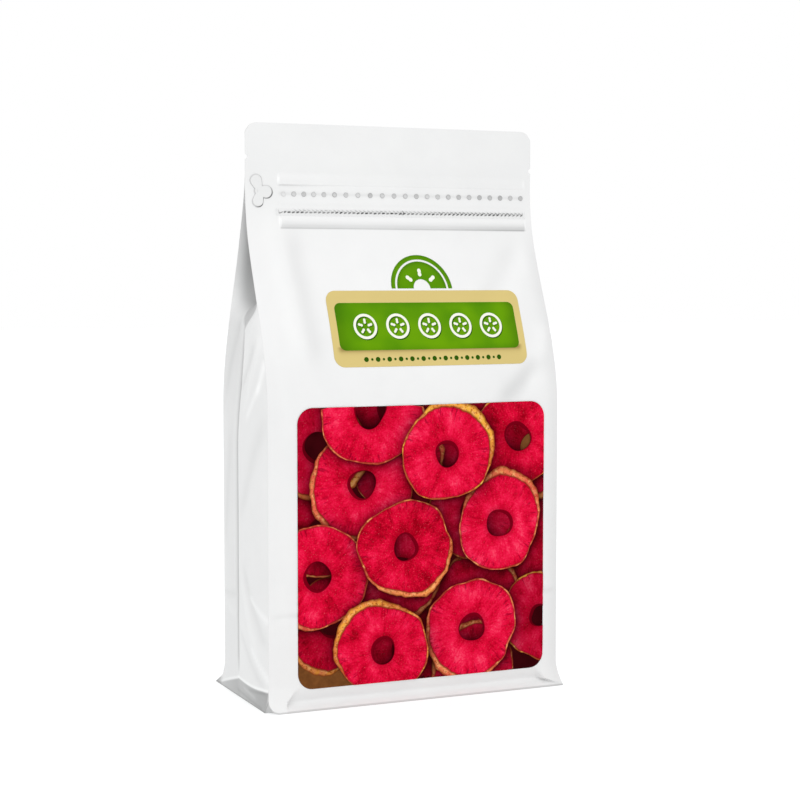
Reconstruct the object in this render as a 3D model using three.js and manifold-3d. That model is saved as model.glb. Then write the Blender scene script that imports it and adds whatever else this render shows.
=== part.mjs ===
// A shut, filled flat-bottomed pouch for dried apple rings, standing on its flat base.
// White film: a front and a back wall, two side gussets that fold in towards the flat sealed
// header, a bottom flange all round, a pocket zip pressed through the front with its row of
// round spot seals, and a three-lobed tear tab. A picture panel and a badge lie on the front.
// Millimetres, +Z up. The front faces -Y. The origin is on the floor at the centre of the base.
import * as THREE from "three";
import { mergeVertices } from "three/addons/utils/BufferGeometryUtils.js";
import Module from "manifold-3d";

const wasm = await Module();
wasm.setup();
const { lerp, clamp, smoothstep } = THREE.MathUtils;

// Driving sizes of the film body
const WIDTH = 150;
const HEIGHT = 272.4;
const DEPTH = 66;
const SEAL = 0.9; // thickness of the header, where the walls and the folded gussets are sealed
const FILM_EDGE = 0.6; // thickness of the sealed edge along each side of a wall
const FULL_DEPTH_Z = 138; // below this the body has its full depth
const SHOULDER_Z = 250; // above this the pouch is flat
const LEAN = 2.5; // the header leans this far to the front
const LEAN_FROM_Z = 215;
const LEAN_TO_Z = 255;
const WALL_BULGE = 2.5; // the contents push the front and the back wall out this far
const BULGE_Z = [14, 70, 150, 225]; // where that bulge starts, is full, starts to fade and ends

// Side gussets
const GUSSET_OUT = 3.7; // the filled gusset stands out this far at its centre crease
const GUSSET_FOLD = 31; // the empty gusset folds in this far
const GUSSET_OUT_Z = [120, 176]; // the stand-out fades over this stretch
const GUSSET_FOLD_Z = [176, 208]; // the fold deepens over this stretch
const GUSSET_SEAL_Z = [242, 247]; // the fold is sealed shut over this stretch
const GUSSET_PILLOW = 1.6; // each half of the gusset is rounded by this much
const PILLOW_TOP_Z = [168, 190];

// Bottom flange
const FLANGE_OUT = 4.2; // in front and behind
const FLANGE_SIDE = 2; // at the gussets
const FLANGE_Z = 3.8; // height of the valley above the front and back flange
const VALLEY_IN = 1.6; // depth of that valley
const VALLEY_TOP_Z = 9.3;
const VALLEY_HALF = 66.5; // half the length of the valley, at its bottom
const VALLEY_SLANT = 0.75; // its ends slant in this much for each millimetre up
const VALLEY_END = 2.5; // length of the face at each end
const SKIRT_Z = 7; // the crease between a gusset and its flange
const FLARE_TOP_Z = 13;
const FLANGE_CORNER = 5.5; // radius of the flange's cut corners

// Header
const HEADER_CORNER = 6;
const NOTCH_RADIUS = 1;
const CUT_REACH = 10; // the cutting tools reach this far through the film
const NOTCH_Z = { left: 256.5, right: 253 };

// Pocket zip: its ends, and the height of the relief at each level
const ZIP_X = [-57.5, 71];
const ZIP_END = 1.2; // length of the slope at each end
const ZIP_RELIEF = [
  [222.9, 0],
  [223.6, 0.8],
  [226, 0.9],
  [229.2, 0.25],
  [230, 0.25],
  [230.3, 0.7],
  [231, 0.7],
  [231.3, 0.2],
  [243.1, 0.1],
  [243.8, 0.75],
  [246, 0.6],
  [249.6, 0],
];
const DOT_COUNT = 23;
const DOT_RADIUS = 1.2;
const DOT_RAISE = 0.35;
const DOT_THICK = 1.2;
const DOT_Z = 239.4;
const DOT_X = [-55.6, 69.4];

// Tear tab: a rounded three-lobed outline left of the zip
const TAB = { x: -68.2, z: 240.4, radius: 4.9, lobe: 2, stretch: 1.12, raise: 0.35 };

// Picture panel and badge, given by centre, size and corner radius on the front wall
const PRINT_GAP = 0.2;
const PRINT_THICK = 0.25;
const PICTURE = { x: 3, z: 74.8, width: 128, height: 131, corner: 7.5 };
const CARD = { x: 9.2, z: 176.2, width: 101, height: 35.4, corner: 5 };
const PANEL = { x: 9.2, z: 177.2, width: 94, height: 22, corner: 3 };
const SLICE = { x: 9.2, z: 194.9, radius: 16 };

// Grid of the walls
const WALL_STEPS = 16;
const GUSSET_STEPS = 8;
const EDGE_COLUMNS = [62, 64.5, 66.5, 69.2, 72.3, 74.2, WIDTH / 2]; // closer together

function halfDepth(z) {
  const closed = smoothstep(z, FULL_DEPTH_Z, SHOULDER_Z);
  return lerp(DEPTH / 2, SEAL / 2, closed);
}

function centreY(z) {
  return -LEAN * smoothstep(z, LEAN_FROM_Z, LEAN_TO_Z);
}

function wallBulge(x, z) {
  const across = Math.cos((Math.PI * x) / WIDTH) ** 2;
  const up = smoothstep(z, BULGE_Z[0], BULGE_Z[1]) * (1 - smoothstep(z, BULGE_Z[2], BULGE_Z[3]));
  return WALL_BULGE * across * up;
}

// How far the film flares out near the floor, as a share of the flange's full width.
function flare(z) {
  return Math.max(0, 1 - z / FLARE_TOP_Z) ** 2;
}

// The wall above the flange: a straight flange, a valley, and a slanted face up to the wall.
function valley(z) {
  if (z < FLANGE_Z) return lerp(FLANGE_OUT, -VALLEY_IN, z / FLANGE_Z);
  return lerp(-VALLEY_IN, 0, clamp((z - FLANGE_Z) / (VALLEY_TOP_Z - FLANGE_Z), 0, 1));
}

function footOffset(x, z) {
  const end = VALLEY_HALF - VALLEY_SLANT * Math.max(0, z - FLANGE_Z);
  const inside = clamp((end - Math.abs(x)) / VALLEY_END, 0, 1);
  return lerp(FLANGE_OUT * flare(z), valley(z), inside);
}

function zipRelief(x, z) {
  const inside =
    clamp((x - ZIP_X[0]) / ZIP_END, 0, 1) * clamp((ZIP_X[1] - x) / ZIP_END, 0, 1);
  const above = ZIP_RELIEF.findIndex(([level]) => level >= z);
  if (above < 1) return 0;
  const [[z0, h0], [z1, h1]] = ZIP_RELIEF.slice(above - 1, above + 1);
  return inside * lerp(h0, h1, (z - z0) / (z1 - z0));
}

// The cut corners of the front and back flange lift off the floor along a round arc.
function cornerLift(x) {
  const past = Math.abs(x) - (WIDTH / 2 - FLANGE_CORNER);
  return past > 0 ? FLANGE_CORNER - Math.sqrt(FLANGE_CORNER ** 2 - past ** 2) : 0;
}

// A point of the front (side -1) or back (side 1) wall at position x and row height z.
function wallPoint(side, x, z) {
  const lift = cornerLift(x);
  const level = z < FLARE_TOP_Z ? lift + z * (1 - lift / FLARE_TOP_Z) : z;
  const relief = side < 0 ? zipRelief(x, z) : 0;
  const out = halfDepth(level) + wallBulge(x, level) + footOffset(x, level) + relief;
  const widen = 1 + (FLANGE_SIDE * flare(level)) / (WIDTH / 2);
  return new THREE.Vector3(x * widen, centreY(z) + side * out, level);
}

// How far the centre crease of a gusset stands inside the side edges of the walls.
function creaseIn(z) {
  const out = GUSSET_OUT * (1 - smoothstep(z, ...GUSSET_OUT_Z));
  const fold = GUSSET_FOLD * smoothstep(z, ...GUSSET_FOLD_Z);
  return (fold - out) * (1 - smoothstep(z, ...GUSSET_SEAL_Z));
}

// Half the depth of a gusset, which ends inside the sealed edges of the two walls.
function gussetHalf(z) {
  const half = halfDepth(z);
  return half - Math.min(FILM_EDGE, half / 2);
}

// How far a gusset stands outside the sides of the walls: t runs from -1 at its front edge
// through 0 at its centre crease to 1 at its back edge.
function gussetOut(t, z) {
  const toCrease = 1 - Math.abs(t);
  const fullness = 1 - smoothstep(z, ...PILLOW_TOP_Z);
  const pillow = GUSSET_PILLOW * Math.sin(Math.PI * toCrease) * fullness;
  return pillow - creaseIn(z) * toCrease + FLANGE_SIDE * flare(z) * Math.abs(t);
}

// A point of a gusset, with its straight skirt below the crease: hand is -1 left or 1 right.
function gussetPoint(hand, t, z) {
  const skirt = lerp(FLANGE_SIDE, gussetOut(t, SKIRT_Z), z / SKIRT_Z);
  const out = z < SKIRT_Z ? skirt : gussetOut(t, z);
  return new THREE.Vector3(hand * (WIDTH / 2 + out), centreY(z) + gussetHalf(z) * t, z);
}

function sorted(values) {
  return [...new Set(values)].sort((a, b) => a - b);
}

// Evenly spaced columns, closer ones near both edges, and one at each end of the zip's slopes.
function wallColumns() {
  const inner = EDGE_COLUMNS[0];
  const even = Array.from({ length: WALL_STEPS - 1 }, (_, i) => WIDTH * ((i + 1) / WALL_STEPS - 0.5));
  const edges = EDGE_COLUMNS.flatMap((x) => [-x, x]);
  const zip = [ZIP_X[0], ZIP_X[0] + ZIP_END, ZIP_X[1] - ZIP_END, ZIP_X[1]];
  return sorted([...even.filter((x) => Math.abs(x) < inner), ...edges, ...zip]);
}

function rowLevels() {
  const foot = [0, 0.5, 2, FLANGE_Z, 5.5, SKIRT_Z, VALLEY_TOP_Z, 11, FLARE_TOP_Z];
  const body = Array.from({ length: 9 }, (_, i) => 26 + 14 * i);
  const shoulder = Array.from({ length: 13 }, (_, i) => 146 + 6 * i);
  const zip = ZIP_RELIEF.map(([z]) => z);
  return sorted([...foot, ...body, ...shoulder, ...zip, 235, 239.4, 252, 256, 264, HEIGHT]);
}

// One ring of points round the pouch: the front wall from left to right, the right gusset,
// the back wall from right to left, then the left gusset.
function ringAt(z, columns, steps) {
  const front = columns.map((x) => wallPoint(-1, x, z));
  const back = [...columns].reverse().map((x) => wallPoint(1, x, z));
  const right = steps.map((t) => gussetPoint(1, t, z));
  const left = [...steps].reverse().map((t) => gussetPoint(-1, t, z));
  return [...front, ...right, ...back, ...left];
}

// Closes a ring. Two lines of points join the edges of the gussets, in front and behind, with
// strips outside and between them. A fan of each gusset's points closes the ends.
function cap(points, columns, steps, offset, z) {
  const [n, g] = [columns.length, steps.length];
  const outerFront = (i) => offset + i;
  const outerBack = (i) => offset + 2 * n + g - 1 - i;
  const right = steps.map((_, i) => offset + n + i);
  const left = steps.map((_, i) => offset + 2 * n + 2 * g - 1 - i);
  const half = gussetHalf(z);
  const line = (side, first, last) => {
    const inner = columns.slice(1, -1).map((x) => new THREE.Vector3(x, centreY(z) + side * half, z));
    return [first, ...inner.map((point) => points.push(point) - 1), last];
  };
  const front = line(-1, left[0], right[0]);
  const back = line(1, left[g - 1], right[g - 1]);
  const faces = [];
  const quad = (a, b, c, d) => faces.push([a, b, c], [a, c, d]);
  for (let i = 0; i < n - 1; i += 1) {
    quad(outerFront(i), outerFront(i + 1), front[i + 1], front[i]);
    quad(back[i], back[i + 1], outerBack(i + 1), outerBack(i));
    if (i > 0 && i < n - 2) quad(front[i], front[i + 1], back[i + 1], back[i]);
  }
  const fan = ([centre, ...rest]) => {
    for (let i = 0; i < rest.length - 1; i += 1) faces.push([centre, rest[i], rest[i + 1]]);
  };
  fan([front[n - 2], ...right, back[n - 2]]);
  fan([back[1], ...[...left].reverse(), front[1]]);
  return faces;
}

function geometryOf(points, faces) {
  const geometry = new THREE.BufferGeometry();
  geometry.setAttribute("position", new THREE.Float32BufferAttribute(points.flatMap((p) => p.toArray()), 3));
  geometry.setIndex(faces.flat());
  return geometry;
}

function filmBody() {
  const columns = wallColumns();
  const steps = Array.from({ length: GUSSET_STEPS + 1 }, (_, i) => (2 * i) / GUSSET_STEPS - 1);
  const rings = rowLevels().map((z) => ringAt(z, columns, steps));
  const size = rings[0].length;
  const points = rings.flat();
  const faces = [];
  for (let row = 0; row < rings.length - 1; row += 1) {
    for (let i = 0; i < size; i += 1) {
      const a = row * size + i;
      const b = row * size + ((i + 1) % size);
      faces.push([a, b, b + size], [a, b + size, a + size]);
    }
  }
  const top = (rings.length - 1) * size;
  faces.push(...cap(points, columns, steps, 0, 0).map(([a, b, c]) => [a, c, b]));
  faces.push(...cap(points, columns, steps, top, HEIGHT));
  return solidOf(geometryOf(points, faces));
}

// A closed geometry as a solid that can be cut and joined.
function solidOf(geometry) {
  const bare = geometry.index ? geometry.clone() : geometry;
  bare.deleteAttribute("normal");
  bare.deleteAttribute("uv");
  const merged = mergeVertices(bare, 1e-4);
  return new wasm.Manifold(
    new wasm.Mesh({
      numProp: 3,
      vertProperties: merged.attributes.position.array,
      triVerts: new Uint32Array(merged.index.array),
    }),
  );
}

function geometryFrom(solid) {
  const { vertProperties, triVerts, numProp } = solid.getMesh();
  const positions = new Float32Array((vertProperties.length / numProp) * 3);
  for (let i = 0; i < positions.length / 3; i += 1) {
    positions.set(vertProperties.subarray(i * numProp, i * numProp + 3), i * 3);
  }
  const geometry = new THREE.BufferGeometry();
  geometry.setAttribute("position", new THREE.BufferAttribute(positions, 3));
  geometry.setIndex(new THREE.BufferAttribute(triVerts, 1));
  return geometry.toNonIndexed();
}

// A flat outline in X and Z, extruded along Y from front to back.
function prism(shape, front, back, curveSegments = 6) {
  const geometry = new THREE.ExtrudeGeometry(shape, {
    depth: back - front,
    bevelEnabled: false,
    curveSegments,
  });
  geometry.rotateX(Math.PI / 2);
  geometry.translate(0, back, 0);
  return solidOf(geometry);
}

function roundedRectangle({ x, z, width, height, corner }) {
  const [left, right] = [x - width / 2, x + width / 2];
  const [low, high] = [z - height / 2, z + height / 2];
  const shape = new THREE.Shape();
  shape.moveTo(left + corner, low);
  shape.lineTo(right - corner, low);
  shape.absarc(right - corner, low + corner, corner, -Math.PI / 2, 0);
  shape.lineTo(right, high - corner);
  shape.absarc(right - corner, high - corner, corner, 0, Math.PI / 2);
  shape.lineTo(left + corner, high);
  shape.absarc(left + corner, high - corner, corner, Math.PI / 2, Math.PI);
  shape.lineTo(left, low + corner);
  shape.absarc(left + corner, low + corner, corner, Math.PI, 1.5 * Math.PI);
  return shape;
}

function halfDisc({ x, z, radius }) {
  const shape = new THREE.Shape();
  shape.absarc(x, z, radius, 0, Math.PI);
  shape.closePath();
  return shape;
}

// What the die cuts off a corner of the header: hand is -1 left or 1 right.
function headerCorner(hand) {
  const x = (hand * WIDTH) / 2;
  const shape = new THREE.Shape();
  shape.moveTo(x + hand, HEIGHT + 1);
  shape.lineTo(x - hand * HEADER_CORNER, HEIGHT + 1);
  shape.lineTo(x - hand * HEADER_CORNER, HEIGHT);
  const [from, to] = [Math.PI / 2, hand > 0 ? 0 : Math.PI];
  shape.absarc(x - hand * HEADER_CORNER, HEIGHT - HEADER_CORNER, HEADER_CORNER, from, to, hand > 0);
  shape.lineTo(x + hand, HEIGHT - HEADER_CORNER);
  shape.closePath();
  return prism(shape, -CUT_REACH, CUT_REACH);
}

function tearNotch(hand, z) {
  const notch = new THREE.CylinderGeometry(NOTCH_RADIUS, NOTCH_RADIUS, 2 * CUT_REACH, 10);
  notch.translate((hand * WIDTH) / 2, 0, z);
  return solidOf(notch);
}

function tabOutline() {
  const shape = new THREE.Shape();
  const steps = 30;
  for (let i = 0; i < steps; i += 1) {
    const angle = (2 * Math.PI * i) / steps;
    const radius = TAB.radius + TAB.lobe * Math.cos(3 * angle);
    const x = TAB.x + radius * Math.cos(angle);
    const z = TAB.z + TAB.stretch * radius * Math.sin(angle);
    if (i) shape.lineTo(x, z);
    else shape.moveTo(x, z);
  }
  shape.closePath();
  return shape;
}

function tearTab() {
  const surface = wallPoint(-1, TAB.x, TAB.z).y;
  return prism(tabOutline(), surface - TAB.raise, surface + 1);
}

function spotSeals() {
  return Array.from({ length: DOT_COUNT }, (_, i) => {
    const x = lerp(DOT_X[0], DOT_X[1], i / (DOT_COUNT - 1));
    const dome = new THREE.SphereGeometry(DOT_RADIUS, 8, 5);
    dome.rotateX(Math.PI / 2);
    dome.scale(1, DOT_THICK / (2 * DOT_RADIUS), 1);
    dome.translate(x, wallPoint(-1, x, DOT_Z).y - DOT_RAISE + DOT_THICK / 2, DOT_Z);
    return solidOf(dome);
  });
}

function pouchFilm() {
  const cuts = [headerCorner(-1), headerCorner(1), tearNotch(-1, NOTCH_Z.left), tearNotch(1, NOTCH_Z.right)];
  const joins = [tearTab(), ...spotSeals()];
  const cut = cuts.reduce((body, tool) => body.subtract(tool), filmBody());
  return joins.reduce((body, tool) => body.add(tool), cut);
}

// A layer of the front wall between two heights, lifted off the film and given a thickness.
function frontLayer(low, high, lift) {
  const columns = wallColumns().filter((x) => Math.abs(x) < WIDTH / 2);
  const levels = rowLevels();
  const first = levels.findLastIndex((z) => z <= low);
  const last = levels.findIndex((z) => z >= high);
  const rows = levels.slice(first, last + 1);
  const sheet = (out) =>
    rows.flatMap((z) => columns.map((x) => wallPoint(-1, x, z).add(new THREE.Vector3(0, -out, 0))));
  const points = [...sheet(lift + PRINT_THICK), ...sheet(lift)];
  const [n, m] = [columns.length, rows.length];
  const behind = n * m;
  const faces = [];
  for (let row = 0; row < m - 1; row += 1) {
    for (let i = 0; i < n - 1; i += 1) {
      const a = row * n + i;
      faces.push([a, a + 1, a + n + 1], [a, a + n + 1, a + n]);
      const b = a + behind;
      faces.push([b, b + n + 1, b + 1], [b, b + n, b + n + 1]);
    }
  }
  const rim = [
    ...Array.from({ length: n }, (_, i) => i),
    ...Array.from({ length: m - 1 }, (_, i) => (i + 2) * n - 1),
    ...Array.from({ length: n - 1 }, (_, i) => n * m - 2 - i),
    ...Array.from({ length: m - 2 }, (_, i) => (m - 2 - i) * n),
  ];
  rim.forEach((a, i) => {
    const b = rim[(i + 1) % rim.length];
    faces.push([a, a + behind, b + behind], [a, b + behind, b]);
  });
  return solidOf(geometryOf(points, faces));
}

function printed(shape, low, high, lift) {
  return frontLayer(low, high, lift).intersect(prism(shape, -DEPTH, 0));
}

function piece(name, solid, material) {
  const mesh = new THREE.Mesh(geometryFrom(solid), material);
  mesh.name = name;
  return mesh;
}

const film = new THREE.MeshStandardMaterial({ color: 0xf2f2f2, roughness: 0.5, metalness: 0 });
const pictureInk = new THREE.MeshStandardMaterial({ color: 0xd0103c, roughness: 0.45, metalness: 0 });
const cardInk = new THREE.MeshStandardMaterial({ color: 0xd9c07c, roughness: 0.6, metalness: 0 });
const panelInk = new THREE.MeshStandardMaterial({ color: 0x4f8f08, roughness: 0.55, metalness: 0 });

const onFilm = PRINT_GAP;
const onCard = 2 * PRINT_GAP + PRINT_THICK;
const spanZ = ({ z, height }) => [z - height / 2, z + height / 2];

const pouch = new THREE.Group();
pouch.add(
  piece("pouch", pouchFilm(), film),
  piece("picture_panel", printed(roundedRectangle(PICTURE), ...spanZ(PICTURE), onFilm), pictureInk),
  piece("badge_card", printed(roundedRectangle(CARD), ...spanZ(CARD), onFilm), cardInk),
  piece("badge_field", printed(roundedRectangle(PANEL), ...spanZ(PANEL), onCard), panelInk),
  piece("badge_slice", printed(halfDisc(SLICE), SLICE.z, SLICE.z + SLICE.radius, onFilm), panelInk),
);

export default pouch;
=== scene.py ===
# %% [markdown]
# # A shut pouch of dried apple rings
#
# The object is a flat-bottomed pouch of white laminated film, filled and shut. It stands on its
# base. The film has a front and a back wall, two side gussets, a sealed header and a flange round
# the floor. A pocket zip, a row of round spot seals and a three-lobed tear tab are pressed into
# the front. The front also carries two prints: a badge, and a picture of red apple rings.
#
# The CAD model gives the place and size of everything. This script gives each surface its finish
# and its fine shape: soft dents, creases, seals and printed ink.

# %% Load the frame
import math

import bpy
import numpy as np
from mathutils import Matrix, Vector


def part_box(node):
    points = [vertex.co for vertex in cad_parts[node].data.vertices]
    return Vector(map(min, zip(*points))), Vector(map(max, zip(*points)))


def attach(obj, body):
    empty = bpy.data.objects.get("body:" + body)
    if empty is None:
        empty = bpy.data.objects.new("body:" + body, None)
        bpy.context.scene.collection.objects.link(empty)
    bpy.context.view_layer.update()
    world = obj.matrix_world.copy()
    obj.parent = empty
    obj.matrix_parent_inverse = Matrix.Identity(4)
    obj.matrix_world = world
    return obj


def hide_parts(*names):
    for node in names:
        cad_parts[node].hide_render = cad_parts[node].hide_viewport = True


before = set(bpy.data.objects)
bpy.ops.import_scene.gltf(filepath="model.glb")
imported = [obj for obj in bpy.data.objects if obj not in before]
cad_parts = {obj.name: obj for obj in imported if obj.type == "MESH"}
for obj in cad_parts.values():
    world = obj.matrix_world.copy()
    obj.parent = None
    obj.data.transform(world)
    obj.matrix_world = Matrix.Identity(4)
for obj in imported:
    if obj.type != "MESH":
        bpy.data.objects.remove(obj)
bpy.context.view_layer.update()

# %% [markdown]
# ## Camera first
#
# The photograph is taken from the pouch's left, a little above the middle, with a long lens. A
# long lens keeps upright edges nearly parallel. The camera is placed by a target point, two
# angles and a distance, because these are the numbers that a photographer would change.

# %% Camera
MM = 0.001
LENS_MM = 80.6
CAMERA_TARGET = Vector((5.12, 0, 140.26)) * MM
CAMERA_LEFT_DEG = 23.78
CAMERA_UP_DEG = 3.92
CAMERA_DISTANCE = 876.9 * MM


def aim(thing, place):
    """Puts a camera or a lamp into the scene, looking at the target from a place."""
    thing.location = place
    thing.rotation_mode = "QUATERNION"
    thing.rotation_quaternion = (CAMERA_TARGET - Vector(place)).to_track_quat("-Z", "Y")
    bpy.context.scene.collection.objects.link(thing)


def add_camera():
    """A camera that looks at the target from a distance, turned to the left and raised."""
    left, up = math.radians(CAMERA_LEFT_DEG), math.radians(CAMERA_UP_DEG)
    back = Vector((-math.sin(left) * math.cos(up), -math.cos(left) * math.cos(up), math.sin(up)))
    camera = bpy.data.objects.new("camera", bpy.data.cameras.new("camera"))
    camera.data.lens = LENS_MM
    aim(camera, CAMERA_TARGET + back * CAMERA_DISTANCE)
    bpy.context.scene.camera = camera
    return camera


camera = add_camera()
print("camera at", [round(v, 3) for v in camera.location])

# %% [markdown]
# ## Shader maths as plain arithmetic
#
# Materials are graphs of nodes. Written by hand, even a sum takes several lines, so one small
# class wraps a socket and lets Python's own operators add the Math nodes. Every other node comes
# from one method, `add`, which takes the node's type, its settings and its inputs.

# %% A socket that can be added and multiplied


class Socket:
    """A value that varies over a surface. Arithmetic on it adds Math nodes to its finish."""

    def __init__(self, finish, link):
        self.finish = finish
        self.link = link

    def math(self, operation, first, second):
        """A Math node with two inputs, each a socket or a number."""
        return self.finish.add("Math", {"operation": operation}, {0: first, 1: second})

    def __add__(self, other):
        return self.math("ADD", self, other)

    def __sub__(self, other):
        return self.math("SUBTRACT", self, other)

    def __mul__(self, other):
        return self.math("MULTIPLY", self, other)

    __radd__ = __add__


# %% A finish


class Finish:
    """One material, made of nodes."""

    def __init__(self, name):
        self.material = bpy.data.materials.new(name)
        self.material.use_nodes = True
        self.material.node_tree.nodes.clear()

    def add(self, kind, settings=None, inputs=None, output=0):
        """Adds a node: first its settings, then the values or links of its sockets."""
        node = self.material.node_tree.nodes.new("ShaderNode" + kind)
        for name, value in (settings or {}).items():
            if name == "stops":
                self.set_stops(node.color_ramp, value)
            else:
                setattr(node, name, value)
        for name, value in (inputs or {}).items():
            if isinstance(value, Socket):
                self.material.node_tree.links.new(value.link, node.inputs[name])
            else:
                node.inputs[name].default_value = value
        return Socket(self, node.outputs[output]) if node.outputs else None

    @staticmethod
    def set_stops(ramp, stops):
        """Gives a new colour ramp, which has two stops, as many as are asked for."""
        while len(ramp.elements) < len(stops):
            ramp.elements.new(1.0)
        for element, (position, colour) in zip(ramp.elements, stops):
            element.position = position
            element.color = (*colour, 1.0)

    def place(self):
        """The position on the object, in metres."""
        return self.add("TexCoord", output="Object")

    def attribute(self, name, output="Fac"):
        """A value kept at the points of a mesh, or a vector with output="Vector"."""
        return self.add("Attribute", {"attribute_name": name}, output=output)

    def noise(self, where, scale, detail=3.0, roughness=0.5):
        """Soft noise about 0.5. scale is the number of its waves over one unit of where."""
        inputs = {"Vector": where, "Scale": scale, "Detail": detail, "Roughness": roughness}
        return self.add("TexNoise", {}, inputs)

    def between(self, value, start, end):
        """0 where value is under start, 1 over end, smooth between them."""
        settings = {"interpolation_type": "SMOOTHSTEP"}
        return self.add("MapRange", settings, {"Value": value, "From Min": start, "From Max": end})

    def colours(self, value, *stops):
        """A colour for each value, from stops of position and colour."""
        return self.add("ValToRGB", {"stops": stops}, {0: value})

    def mix(self, share, first, second):
        """A colour that is first where share is 0 and second where share is 1."""
        ends = [(*c, 1.0) if isinstance(c, tuple) else c for c in (first, second)]
        return self.add("Mix", {"data_type": "RGBA"}, {0: share, 6: ends[0], 7: ends[1]}, output=2)

    def layered(self, colour, *layers):
        """Lays more colours over a colour, one after another, each with its own share."""
        for share, over in layers:
            colour = self.mix(share, colour, over)
        return colour

    def surface(self, **inputs):
        """Ends the graph in a Principled surface. Underscores in names stand for spaces."""
        named = {name.replace("_", " "): value for name, value in inputs.items()}
        shader = self.add("BsdfPrincipled", {}, named)
        self.add("OutputMaterial", {}, {"Surface": shader})
        return self.material


print("shader tools ready")

# %% [markdown]
# ## The film's finish
#
# The film is white with a satin skin. It is never quite smooth: over a few centimetres it ripples
# where the fruit presses from inside, and over a millimetre it has the fine grain of laminated
# plastic. Both go into a Bump node. The same bump lies under the prints, because ink follows the
# film that carries it. Where the film is welded it turns grey. Painted shade greys it deep in folds,
# in grooves and along the floor, and painted highlights lighten it along sharp creases. One
# attribute holds both, with values over and under 0.

# %% White film
RIPPLE_PER_M = 50.0
GRAIN_PER_M = 900.0
GRAIN_SHARE = 0.02
RIPPLE_HEIGHT = 0.0004
FILM_SHADE, FILM_LIGHT = (0.72, 0.72, 0.722), (0.79, 0.79, 0.788)
WELD_AND_SHADE_GREY = (0.3, 0.3, 0.3)
PAINTED_HIGHLIGHT_WHITE = (0.97, 0.97, 0.97)
FILM_GLOSS = 0.35


def on_film(finish, colour, roughness, gloss):
    """Ends a finish that follows the film: ripples of about 20 mm with a fine grain on top."""
    place = finish.place()
    ripple = finish.noise(place, RIPPLE_PER_M, 2.0, 0.4)
    grain = finish.noise(place, GRAIN_PER_M, 2.0, 0.5)
    height = ripple + grain * GRAIN_SHARE
    bump = finish.add("Bump", {}, {"Strength": 0.5, "Distance": RIPPLE_HEIGHT, "Height": height})
    return finish.surface(Base_Color=colour, Roughness=roughness, Specular_IOR_Level=gloss, Normal=bump)


def film_finish():
    """White in soft clouds, then greyer for welds and painted shade where the attribute is over 0, and
    lighter for painted highlights where it is under 0.
    """
    finish = Finish("white_film")
    place = finish.place()
    cloud = finish.noise(place, 30.0, 3.0) * 0.6 + finish.noise(place, 110.0, 2.0) * 0.4
    white = finish.mix(cloud, FILM_SHADE, FILM_LIGHT)
    pressed = finish.attribute("pressed")
    # Over 0 the attribute greys welds and paints shade; under 0 it paints highlights.
    colour = finish.layered(white, (pressed, WELD_AND_SHADE_GREY), (pressed * -1.0, PAINTED_HIGHLIGHT_WHITE))
    rough = 0.42 + finish.noise(place, 120.0, 2.0) * 0.1
    return on_film(finish, colour, rough, FILM_GLOSS)


film = film_finish()
print("made", film.name)

# %% [markdown]
# ## Meshes from arrays
#
# Each piece is worked out as whole numpy arrays in millimetres. One function turns points and
# faces into an object in metres, gives it a finish, and says which body it rides on and which CAD
# node it stands for.

# %% From arrays to an object
SHARP_DEG = 40.0


def add_piece(name, points, faces, finish, node=None, values=None):
    """A mesh of points (..., 3) in millimetres. faces is a list of arrays of quads or triangles, and
    values[name] is an array with a number or a vector for each point."""
    points = np.reshape(points, (-1, 3))
    mesh = bpy.data.meshes.new(name)
    corners = [face for array in faces for face in array.tolist()]
    mesh.from_pydata((points * MM).tolist(), [], corners)
    for key, array in (values or {}).items():
        one_each = array.size == len(points)
        kind, field = ("FLOAT", "value") if one_each else ("FLOAT_VECTOR", "vector")
        flat = array.astype(np.float32).ravel()
        mesh.attributes.new(key, kind, "POINT").data.foreach_set(field, flat)
    mesh.validate(clean_customdata=False)
    mesh.shade_smooth()
    mesh.set_sharp_from_angle(angle=math.radians(SHARP_DEG))
    mesh.materials.append(finish)
    piece = bpy.data.objects.new(name, mesh)
    bpy.context.scene.collection.objects.link(piece)
    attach(piece, "root")
    if node:
        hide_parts(node)
    triangles = sum(len(array) * (array.shape[1] - 2) for array in faces)
    print(f"{name}: {len(mesh.vertices)} points, {triangles} triangles")
    return piece


def grid_faces(rows, columns, closed=False, first=0):
    """The quads of a grid of points that is stored row by row. closed joins the last column to the
    first one. Each face is a point, the next in its row, the one above that, and the one above."""
    row = np.arange(rows - 1)[:, None] * columns
    column = np.arange(columns if closed else columns - 1)[None, :]
    right = (column + 1) % columns
    corners = [row + column, row + right, row + columns + right, row + columns + column]
    return np.stack(corners, -1).reshape(-1, 4) + first


def add_grid(name, points, finish, node=None, values=None):
    """A piece made of one grid of points (rows, columns, 3)."""
    return add_piece(name, points, [grid_faces(*points.shape[:2])], finish, node, values)


def round_angles(count):
    """count angles, evenly spaced over a full turn."""
    return 2 * np.pi * np.arange(count) / count


def smooth(value, start, end):
    """0 up to start, 1 from end on, and 3t^2 - 2t^3 between them."""
    t = np.clip((value - start) / (end - start), 0, 1)
    return t * t * (3 - 2 * t)


def stretch(value, start, full, falling, end):
    """Rises smoothly from 0 to 1 between start and full, and falls back from falling to end."""
    return smooth(value, start, full) * (1 - smooth(value, falling, end))


def hump(value, centre, width):
    """A bell curve of height 1 about the centre: exp(-((value - centre) / width)^2)."""
    return np.exp(-(((value - centre) / width) ** 2))


print("mesh tools ready")

# %% [markdown]
# ## The shape of the walls
#
# Seen from the side, a filled pouch is straight up to about half its height and then closes
# smoothly to nothing at the seal. Half the depth is therefore one smoothstep of the height. Small
# terms are added to it: the bulge of the contents, the flange at the floor, the zip, and soft
# folds. Because each term is a formula of the place on the wall, the prints can use the same
# formula and lie exactly on the film.

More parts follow.
